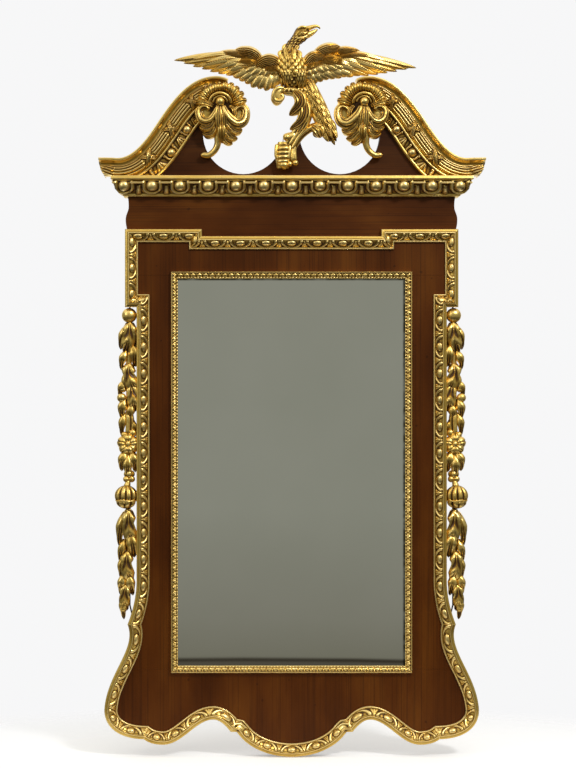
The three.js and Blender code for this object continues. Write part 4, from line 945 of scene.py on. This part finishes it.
# ---- Perch ---------------------------------------------------------------------------------
# One carved C-scroll of leafy rococo work that carries the bird: a rolled curl on the left, two
# leaf tips inside the curve, a ribbed block for a foot, and a branch that curls under the tail.
perch = [
    tube([(-8, 1210, 34, 9), (0, 1224, 35, 10), (9, 1236, 36, 10), (19, 1250, 37, 10.4), (27, 1268, 38, 11),
          (27.5, 1288, 38, 11), (22, 1306, 38, 10.4), (11, 1317, 38, 10.4), (-4, 1321, 38, 9.6),
          (-18, 1320, 38, 9.4)], reeds=5, depth=0.14),
    tube([(-12, 1321, 40, 8), (-24, 1319, 40, 11.5), (-29, 1309, 40, 12.5), (-30, 1299, 39, 11.5),
          (-31, 1291, 38, 7)], sides=24, reeds=4, twist=0.05, depth=0.08),
    tube([(-14, 1324, 47, 3.6), (-28, 1324, 50, 4.6), (-36, 1314, 50, 4.6), (-34, 1302, 49, 4.2),
          (-24, 1299, 50, 4.0), (-18, 1307, 49, 3.8), (-23, 1314, 50, 3.4)]),
    leaf([(30, 1286, 44), (28, 1262, 48), (18, 1242, 46), (4, 1228, 40)], 17, 0.34, veins=3.0, thick=10,
         blunt=0.3),
    tube([(10, 1238, 36, 8), (0, 1231, 37, 9), (-9, 1229, 37, 9), (-13, 1226, 36, 7)]),
    tube([(-1, 1204, 38, 6.0), (6, 1216, 39, 6.8), (15, 1230, 39, 7.4), (27, 1241, 39, 7.4),
          (40, 1248, 40, 7.2), (52, 1250, 40, 7.2), (60, 1245, 40, 6.8), (61, 1237, 41, 5.8),
          (54, 1234, 42, 4.8)], reeds=4, depth=0.14),
    leaf([(40, 1250, 44), (50, 1240, 48), (58, 1228, 40)], 20, 0.34, veins=3.0, thick=10, blunt=0.6),
    leaf([(40, 1254, 38), (50, 1250, 46), (64, 1252, 38)], 13, 0.5, veins=2.0, thick=6, blunt=0.6),
    tube([(5, 1220, 36, 6.4), (3, 1204, 37, 6.6), (4, 1188, 38, 6.2), (6, 1180, 38, 5.6)], reeds=3,
         depth=0.15),
    tube([(-30, 1216, 36, 3.2), (-31, 1204, 38, 3.6), (-31, 1192, 38, 3.6), (-27, 1184, 38, 3.0)]),
    tube([(-4, 1216, 38, 3.0), (-4, 1204, 40, 3.4), (-5, 1192, 40, 3.4), (-7, 1184, 39, 3.0)]),
    *leaves((27, (6, 1318, 44), (16, 1304, 48), (14, 1289, 47), (-5, 1272, 38)),
            (27, (24, 1300, 44), (25, 1274, 48), (16, 1256, 46), (-4, 1244, 38)),
            crown=0.30, veins=5.0, thick=12, blunt=0.35, roll=-10),
]
for middle, radii in (
    ((-10, 1229, 40), (8, 8, 8)), ((50, 1236, 38), (9, 8, 8)), ((7, 1178, 39), (6.0, 6.0, 6.4)),
    ((-4, 1176, 38), (5.4, 5.6, 5.4)), ((-16, 1174, 39), (9, 7, 6.6)), ((-15, 1169, 38), (5, 4.6, 5)),
):
    perch.append(ball(middle, radii))
run = np.linspace(0, 1, 52)[:, None]  # up the ribbed foot
angle = np.linspace(0, 2 * np.pi, 32, endpoint=False)
half = 8.0 + 7.5 * np.sin(np.pi * np.clip(0.12 + 0.74 * run, 0, 1)) ** 0.6
rib = np.abs(np.sin(np.pi * run * 6)) ** 0.6 * (run > 0.12) * (run < 0.88) - 0.4
perch.append(shell(np.dstack((
    -17.5 + 2.5 * run + np.cos(angle) * half,
    1168 + 52 * run + 0 * angle,
    33 + np.sin(angle) * half * 0.72 + 3.4 * rib * np.clip(np.sin(angle), 0, 1),
))))
one_piece("perch", perch, shade_depth=0.014, leaf_of=figure_gilding)

# ---- Bird ----------------------------------------------------------------------------------
# A long-necked bird carved in the round with ragged breast feathers, open wings pegged to its
# shoulders, feathered thighs, claws gripping the perch and a long tail to the right.
bird_y = 1340
BIRD_SIDES = [  # [height, left edge, right edge, half depth] from the thighs up to the crown
    (-14, -8, 12, 8), (-8, -18, 21, 12), (0, -24, 26, 16), (10, -27, 27, 19.5), (20, -28, 27, 21),
    (30, -28, 26, 21), (42, -27, 22, 19.5), (50, -25.5, 17, 17), (55, -23, 13, 15), (60, -19.5, 10.5, 13),
    (66, -15.8, 9.4, 11), (70, -13.5, 12, 10), (75, -10.5, 20, 9.4), (80, -7, 27, 9.6), (85, -2.5, 32, 10.4),
    (90, 1, 34, 11), (95, 3.5, 35, 11.4), (100, 6, 35, 11), (104, 8.5, 33.6, 9.8), (107, 12, 31, 7.6),
    (109.6, 18, 26, 2.4),
]
BIRD_MIDDLE = 38  # out from the wall
SCALE_LONG, SCALES_ROUND = 5.6, 13  # the cut feathers of its neck and breast


def bird_edges(height):
    sides = np.array(BIRD_SIDES, float).T
    return [np.interp(height, sides[0], values) for values in sides[1:]]


height = np.linspace(BIRD_SIDES[0][0], BIRD_SIDES[-1][0], 140)[:, None]
angle = np.linspace(0, 2 * np.pi, 84, endpoint=False)
left, right, deep = bird_edges(height)
scale_row = height / SCALE_LONG
from_scale = np.abs((angle * SCALES_ROUND / (2 * np.pi) + 0.5 * (np.floor(scale_row) % 2)) % 1 - 0.5)
scale_rise = (1 - scale_row % 1) * (1.2 - 2.6 * from_scale) - 0.35
scale_rise = scale_rise * np.interp(height, (40, 62, 84, 96), (2.4, 1.7, 1.3, 0.0))
bird = [
    shell(np.dstack(((left + right) / 2 + np.cos(angle) * ((right - left) / 2 + scale_rise),
                     height + 0 * angle, BIRD_MIDDLE + np.sin(angle) * (deep + scale_rise)))),
    tube([(22, 89, 38, 8), (33, 92.5, 38, 6.6), (42, 97, 38, 4.6), (49, 101.4, 38, 2.4), (51, 103, 38, 1.2)],
         sides=18),
    tube([(26, 103.5, 38, 5.6), (35, 105.6, 38, 4.8), (43, 108.2, 38, 3.8), (50, 109, 38, 2.8),
          (54.6, 106, 38, 1.8), (55.6, 102.6, 38, 0.8)], sides=18),
    tube([(10, 101, 46, 2.0), (18, 105, 49, 2.8), (27, 104.4, 48.4, 2.6), (36, 102.6, 43.5, 1.8)]),
    ball((24.5, 98.6, 47.4), (3.8, 3.2, 2.8)),
    ball((25, 98.8, 49.6), (1.7, 1.6, 1.4)),
    tube([(14, 94, 46.6, 1.6), (23, 93, 48.4, 2.2), (32, 96, 45.5, 1.6)]),
    tube([(8, 84, 45, 2.0), (16, 83, 47.4, 2.8), (25, 86, 46.4, 2.4), (32, 90, 44, 1.8)]),
]
for thigh in (
    [(-10, 26, 46, 12), (-9, 14, 48, 13.5), (-8, 2, 48, 10.5), (-7, -8, 46, 6)],
    [(13, 24, 46, 12), (16, 12, 48, 13.5), (17, 0, 48, 10.5), (17, -10, 46, 6)],
):
    bird.append(tube(thigh, sides=48, step=1.1, scales=(6.5, 12), depth=0.20))


def on_breast(height, share, out):
    """A point on the bird's front, share from -1 at its left edge to 1, that stands out by out."""
    left, right, deep = bird_edges(height)
    z = BIRD_MIDDLE + deep * math.sqrt(1 - share * share) + out
    return (left + right) / 2 + share * (right - left) / 2, height, z


for row, low in enumerate(range(10, 66, 7)):
    left, right, deep = bird_edges(low + 5)
    count = max(2, int((right - left) / 12))
    width = min(14, 0.34 * (right - left))
    for k in range(count + row % 2):
        share = (k + 0.5 * (1 - row % 2)) / count * 1.64 - 0.82
        points = [on_breast(low + up, share, out) for up, out in ((13, -3.0), (5, 0.6), (-3, 1.6))]
        bird.append(leaf(points, width, 0.18, midrib=1.0, thick=5, step=1.1, roll=-40 * share))
for x, low, front in (
    (-21, -20, 40), (-16, -9, 45), (-10, -16, 46), (-3, -8, 43), (3, -19, 43), (9, -12, 45), (14, -24, 46),
    (20, -28, 45), (25, -22, 41),
):
    bird.append(leaf([(x, 14, front), (x + 0.5, -2, front + 5), (x + 1.5, low, front - 1)], 7.0, 0.4,
                     midrib=0.9, thick=8, blunt=0.2))
for x in (-5, 20):
    bird.append(tube([(x, -4, 42, 4.2), (x, -14, 42, 3.4), (x, -19, 42, 3.6)]))
    for reach in (-8, -1, 6):
        bird.append(tube([(x, -16, 43, 2.8), (x + reach, -18, 48, 2.6), (x + reach * 1.3, -25, 48, 1.6)]))
tail_root, tail = np.array([24.0, 6.0]), np.array([59.0, -127.0])
tail_way = unit(tail)
tail_side = tail_way[::-1] * (-1, 1)
for side, start, end, front in (
    (-11, 0.0, 0.84, 37), (11, 0.05, 0.86, 37), (-5, 0.0, 0.97, 39), (6, 0.05, 1.0, 39), (0, 0.1, 1.04, 41),
):
    a, b = (tail_root + tail * share + tail_side * side for share in (start, end))
    bird.append(leaf([(*a, 36), (*((a + b) / 2), front), (*b, front - 6)], 15, 0.24, midrib=1.2, barbs=4.0,
                     thick=7, blunt=0.6))
for row in range(8):
    for side in (-8, 0, 8) if row % 2 else (-11, -4, 4, 11):
        out = abs(side)
        a = tail_root + tail_way * (8 + 13.5 * row + out * 0.5) + tail_side * side * (0.75 + 0.04 * row)
        b = a + tail_way * 29 + tail_side * side * 0.12
        front = 47 - 0.5 * row - 0.25 * out
        bird.append(leaf([(*a, front - 5), (*((a + b) / 2), front), (*b, front + 1.4)], 11.5, 0.24,
                         midrib=1.1, barbs=3.6, thick=6, blunt=0.3, roll=-2.5 * side, step=1.2))
one_piece("bird_body", shifted(bird, 0, bird_y), shade_depth=0.011, leaf_of=figure_gilding)

long_feather = {"crown": 0.24, "barbs": 4.6, "midrib": 1.0, "blunt": 0.3}
slim_feather = {**long_feather, "blunt": 0.2}
broad_feather = {"crown": 0.26, "barbs": 4.2, "midrib": 0.8, "blunt": 0.75}
FEATHER_ROWS = [  # [width, front, roll on the left wing, kind] of each row, the lowest first
    (17, 32, 6, long_feather), (19, 33, -14, broad_feather), (16, 36, -16, long_feather),
    (13, 38, 18, slim_feather), (15, 38, -8, broad_feather),
]


def wing(side, outline, rows, coverts):
    """A pad with the wing's outline, the feathers of each row over it, and coverts at the shoulder.

    A row is how far its feathers sag, a line of roots and the tips; a covert is width, thickness,
    roll and points."""
    way = 1 if side == "left" else -1
    bodies = [pad(outline, 27, 29, 34)]
    for (width, front, roll, kind), (sag, roots, tips) in zip(FEATHER_ROWS, rows):
        roots = smooth_line(roots, len(tips))
        for k, (root, tip) in enumerate(zip(roots, tips)):
            middle = (root + tip) / 2 + (0, sag)
            lift = front + 0.8 * (k % 2)
            points = [(*root, lift - 2), (*middle, lift + 2), (*tip, lift - 3)]
            bodies.append(leaf(points, width, thick=5, roll=way * roll, **kind))
    for width, thick, roll, *points in coverts:
        bodies.append(leaf(points, width, 0.30, veins=7.0, thick=thick, roll=way * roll, blunt=0.55))
    one_piece(f"wing_{side}", shifted(bodies, 0, bird_y), shade_depth=0.010)


wing("left", [
    (-222, 42), (-187, 43), (-147, 46), (-140, 54), (-106, 60), (-90, 59), (-78, 52), (-70, 42), (-60, 44),
    (-51, 45), (-32, 40), (-22, 30), (-22, 0), (-32, -3), (-40, -8), (-52, -12), (-63, -8), (-75, -7),
    (-84, 0), (-95, 8), (-108, 11), (-118, 18), (-150, 24), (-188, 33),
], [
    (2, [(-100, 52), (-84, 34), (-76, 26)],
     [(-233, 43), (-214, 37), (-196, 31), (-178, 26), (-162, 21), (-146, 17), (-130, 14)]),
    (1, [(-66, 30), (-44, 26), (-26, 24)],
     [(-116, 10), (-104, 3), (-92, -3), (-80, -11), (-66, -14), (-52, -18), (-40, -14), (-31, -8)]),
    (1, [(-100, 50), (-84, 40)], [(-180, 30), (-152, 24), (-128, 18)]),
    (3, [(-98, 54), (-80, 40), (-70, 32)], [(-196, 44), (-172, 38), (-146, 34), (-122, 28)]),
    (1, [(-60, 34), (-40, 30), (-24, 30)], [(-96, 16), (-84, 10), (-70, 8), (-56, 8), (-42, 10), (-32, 10)]),
], [
    (17, 8, 24, (-76, 36, 36), (-92, 50, 42), (-118, 54, 42), (-146, 56, 36)),
    (25, 8, 24, (-62, 40, 38), (-76, 52, 46), (-96, 57, 45), (-116, 56, 38)),
    (15, 7, 14, (-64, 30, 38), (-80, 36, 44), (-96, 38, 42), (-112, 36, 37)),
    (27, 9, 20, (-20, 26, 40), (-38, 38, 48), (-54, 38, 47), (-74, 28, 39)),
    (15, 8, 14, (-20, 16, 40), (-30, 24, 46), (-42, 24, 45), (-56, 18, 39)),
])
wing("right", [
    (22, 0), (36, 9), (48, 2), (62, 6), (86, 12), (103, 14), (112, 19), (130, 19), (145, 16), (174, 17),
    (187, 21), (210, 25), (236, 28), (222, 36), (190, 38), (166, 45), (149, 50), (130, 56), (98, 59),
    (90, 66), (74, 68), (54, 61), (42, 54), (34, 42), (22, 30),
], [
    (2, [(102, 54), (88, 36), (78, 28)],
     [(247, 28), (228, 25), (209, 21), (190, 18), (171, 15), (153, 13), (136, 13)]),
    (1, [(70, 30), (48, 26), (27, 22)],
     [(124, 13), (112, 13), (100, 10), (87, 8), (74, 6), (61, 1), (49, -3), (37, -1)]),
    (1, [(100, 50), (84, 40)], [(186, 22), (160, 18), (136, 18)]),
    (2, [(98, 58), (92, 48), (84, 38)], [(190, 40), (168, 38), (144, 32), (122, 28)]),
    (1, [(64, 36), (44, 32), (26, 28)], [(108, 24), (96, 20), (82, 18), (68, 16), (54, 12), (40, 8)]),
], [
    (13, 7, 20, (88, 46, 38), (120, 50, 42), (148, 50, 40), (168, 48, 35)),
    (16, 8, 22, (80, 54, 38), (98, 60, 43), (118, 60, 41), (136, 58, 36)),
    (19, 8, 10, (60, 38, 40), (74, 42, 46), (88, 40, 45), (102, 36, 38)),
    (23, 9, 24, (44, 46, 40), (58, 58, 47), (78, 64, 46), (100, 62, 38)),
    (24, 9, 22, (22, 24, 41), (34, 40, 48), (48, 48, 48), (68, 48, 40)),
    (15, 8, 14, (20, 20, 41), (30, 28, 47), (42, 32, 46), (58, 32, 39)),
])

# ---- Side drops ----------------------------------------------------------------------------
# Carved leaves, berries, a flower and a ribbed gourd, threaded on an iron wire in the step under
# each ear. Places in a drop are [right of the wire, down from the underside of the ear, height].
drop_x = 322
LARGE_LEAF = {"crown": 0.17, "thick": 9, "blunt": 0.45, "lobes": 2, "midrib": 1.5}
SMALL_LEAF = {"crown": 0.22, "thick": 8, "blunt": 0.35, "lobes": 1, "midrib": 1.0}


def hung(*places):
    return [(drop_x + x, ear_bottom - down, *others) for x, down, *others in places]


def drop_leaves(*shapes):
    """Leaves given as a width and places: those over 27 mm wide have two lobes and a lower crown."""
    return [leaf(hung(*places), width, **(LARGE_LEAF if width > 27 else SMALL_LEAF))
            for width, *places in shapes]


def drop_balls(*places, **options):
    """Berries at [right, down, height, radius]."""
    return [ball(spot, (radius, radius, radius * 0.9), **options) for *spot, radius in hung(*places)]


def drop_piece(node, bodies):
    both_sides(node, bodies, shade_depth=0.015, leaf_of=figure_gilding)


drop_piece("drop_upper_spray", [
    tube(hung((0, 26, 14, 6), (0, 40, 15, 6), (0, 70, 14, 6), (2, 110, 14, 6), (2, 150, 14, 6),
              (2, 204, 14, 5))),
    *drop_balls((1, 16, 17, 15), sides=40, rows=28),
    *drop_balls((16, 180, 20, 9.4), (13, 164, 19, 5.4)),
    *drop_leaves(
        (34, (0, 30, 18), (0, 46, 26), (2, 64, 26), (10, 92, 17)),
        (20, (4, 36, 15), (12, 52, 20), (17, 68, 18), (18, 84, 12)),
        (17, (-4, 36, 15), (-10, 54, 19), (-13, 70, 17), (-14, 84, 12)),
        (25, (-4, 74, 17), (-9, 90, 24), (-10, 104, 23), (-12, 118, 16)),
        (18, (6, 86, 16), (12, 98, 22), (16, 110, 19), (17, 124, 13)),
        (34, (0, 112, 17), (2, 130, 26), (-4, 150, 26), (-12, 172, 17)),
        (18, (4, 128, 16), (8, 142, 22), (7, 156, 22), (4, 170, 15)),
        (30, (-2, 152, 18), (-6, 172, 27), (-8, 190, 26), (-10, 208, 17)),
        (17, (8, 146, 15), (15, 156, 21), (19, 168, 18), (20, 180, 12)),
        (20, (8, 182, 18), (14, 196, 24), (16, 210, 21), (14, 224, 14)),
        (19, (-2, 190, 18), (-2, 204, 24), (1, 216, 22), (3, 228, 15)),
    ),
])
petals = []
for k in range(5):
    turn = 2 * math.pi * (k + 0.25) / 5
    petal = hung(*(
        (3 + wide * math.cos(turn), 272 - high * math.sin(turn), front)
        for wide, high, front in ((3, 3, 18), (11, 11, 26), (19.5, 19, 16))
    ))
    petals.append(leaf(petal, 23, 0.30, midrib=-1.6, thick=8, blunt=1.0, step=1.1))
drop_piece("drop_rosette", petals + [
    tube(hung((4, 204, 15, 6.4), (1, 220, 17, 7.6), (1, 236, 17, 7.6), (2, 254, 17, 7.6)), reeds=3,
         depth=0.24),
    tube(hung((4, 282, 15, 8), (3, 306, 15, 8), (3, 330, 15, 6))),
    *drop_balls((3, 272, 24, 8.4), ribs=4, depth=0.25),
    *drop_balls((-6, 250, 20, 7.6), (11, 254, 18, 6.6), (-4, 342, 18, 6.6), (7, 342, 18, 6.4)),
    ball(*hung((1, 332, 17)), (10, 9, 8.5), ribs=4, depth=0.3),
    *drop_leaves(
        (17, (8, 210, 15), (14, 226, 21), (16, 244, 17), (15, 258, 12)),
        (12, (-4, 222, 15), (-9, 236, 19), (-12, 248, 16), (-13, 258, 12)),
        (22, (-2, 286, 18), (-7, 300, 25), (-10, 314, 23), (-11, 328, 15)),
        (21, (6, 286, 18), (13, 300, 24), (16, 312, 20), (16, 326, 13)),
        (21, (2, 292, 19), (4, 310, 26), (4, 326, 23), (3, 342, 14)),
    ),
])
waist = []
for k in range(29):
    turn = 2 * math.pi * k / 28
    waist.append((7 + 20.6 * math.cos(turn), 383 + 2.4 * abs(math.sin(2.5 * turn)),
                  18 + 17.4 * math.sin(turn), 1.4))
drop_piece("drop_gourd", [
    ball(*hung((7, 375, 18)), (21, 21, 17), ribs=10, depth=0.24, sides=80, rows=30),
    ball(*hung((7, 388, 18)), (17.5, 13, 15), ribs=7, depth=0.34, sides=70, rows=26),
    tube(hung((7, 360, 18, 8), (4, 350, 17, 5.4), (3, 343, 17, 4.6))),
    tube(hung(*waist), sides=8),
])
drop_piece("drop_lower_spray", [
    tube(hung((5, 400, 16, 6.4), (2, 414, 16, 6.4), (2, 440, 16, 6.6), (2, 490, 14, 6), (6, 540, 14, 6),
              (9, 590, 13, 5.4)), reeds=4, depth=0.18),
    *drop_balls((12, 600, 17, 6.6)),
    *drop_leaves(
        (34, (2, 404, 18), (2, 424, 26), (0, 446, 26), (-8, 476, 17)),
        (22, (8, 408, 15), (16, 430, 21), (20, 454, 18), (20, 478, 12)),
        (27, (0, 448, 17), (-4, 464, 24), (-7, 480, 23), (-9, 498, 15)),
        (17, (10, 462, 15), (15, 478, 20), (19, 492, 18), (19, 508, 12)),
        (32, (4, 486, 17), (6, 506, 26), (4, 526, 25), (-6, 550, 16)),
        (16, (12, 494, 14), (17, 512, 19), (18, 528, 16), (17, 542, 11)),
        (21, (2, 530, 16), (-1, 546, 23), (-4, 560, 20), (-6, 574, 13)),
        (18, (10, 530, 15), (16, 546, 21), (18, 560, 17), (18, 574, 12)),
        (28, (7, 552, 17), (10, 570, 24), (10, 586, 21), (6, 604, 13)),
        (19, (10, 572, 15), (13, 592, 20), (13, 606, 16), (12, 622, 10)),
    ),
])

# ---- Glass ---------------------------------------------------------------------------------
# Old silvered plate held in the frame's rebate: flat and a little grey, with a thin line of painted shade
# along the top and the right-hand edge, standing for the slip's shaded inner side reflected there.
glass, tree = new_material("silvered glass")
place = tree.node("SeparateXYZ", tree.node("TexCoord").outputs["Object"]).outputs
clouds = noise(tree, 4.0, 3.0)
silver = tree.ramp(clouds, (0.35, (0.80, 0.805, 0.80)), (0.65, (0.84, 0.84, 0.845)))
glass_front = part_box("mirror_glass")[0][1]
painted = tree.between(place["Y"], glass_front + 0.0012, glass_front + 0.0018)
shade_line_right, shade_line_top = (0.2205, 0.2235), (-0.0545, -0.0520)  # where the painted dark line starts and where it is full
# a thin line of painted shade for the reflected shaded side of the slip, broken up by noise
edge = tree.maths("MAXIMUM", tree.between(place["X"], *shade_line_right), tree.between(place["Z"], *shade_line_top))
spotted_shade_line = tree.maths("MULTIPLY", edge, tree.ramp(noise(tree, 60.0, 2.0), (0.3, 0.55), (0.6, 1.0)))
silver = tree.mixed(spotted_shade_line, silver, (0.10, 0.085, 0.06))
silver = tree.mixed(painted, silver, (0.055, 0.045, 0.035))
surface(tree, silver, tree.ramp(clouds, (0.3, 0.012), (0.7, 0.022)), Metallic=1.0)
dress(glass, "mirror_glass")

# ---- Back and hanging fittings -------------------------------------------------------------
# Plain softwood backboards butted behind the glass and strips beside it, darkened by age; two
# brass D-rings on plates, each held by two iron screws; iron wires that the drops hang on.
pine, tree = new_material("old pine")
rings = noise(tree, 55.0, 5.0, (1, 1, 0.05))
colour = tree.ramp(
    rings, (0.35, (0.20, 0.105, 0.045)), (0.50, (0.34, 0.20, 0.09)), (0.66, (0.42, 0.27, 0.13)),
)
colour = tree.mixed(0.6, colour, tree.ramp(noise(tree, 5.0), (0.35, 0.45), (0.62, 1.0)), "MULTIPLY")
surface(tree, colour, 0.72, rings, 0.0008)
dress(pine, "backboard_left", "backboard_right", "glazing_strip_left", "glazing_strip_right")


def old_metal(name, bright, dull, metallic):
    made, tree = new_material(name)
    tarnish = noise(tree, 140.0)
    rough = tree.ramp(tarnish, (0.35, 0.62), (0.65, 0.36))
    surface(tree, tree.ramp(tarnish, (0.36, dull), (0.62, bright)), rough, noise(tree, 700.0, 2.0), 0.0002,
            Metallic=metallic)
    return made


brass = old_metal("old brass", (0.60, 0.44, 0.20), (0.20, 0.13, 0.06), 0.95)
iron = old_metal("dark iron", (0.16, 0.14, 0.12), (0.09, 0.045, 0.025), 0.7)
for side in ("left", "right"):
    dress(brass, f"hanger_plate_{side}", f"hanger_ring_{side}")
    dress(iron, f"drop_wire_{side}", f"hanger_screw_lower_{side}", f"hanger_screw_upper_{side}")
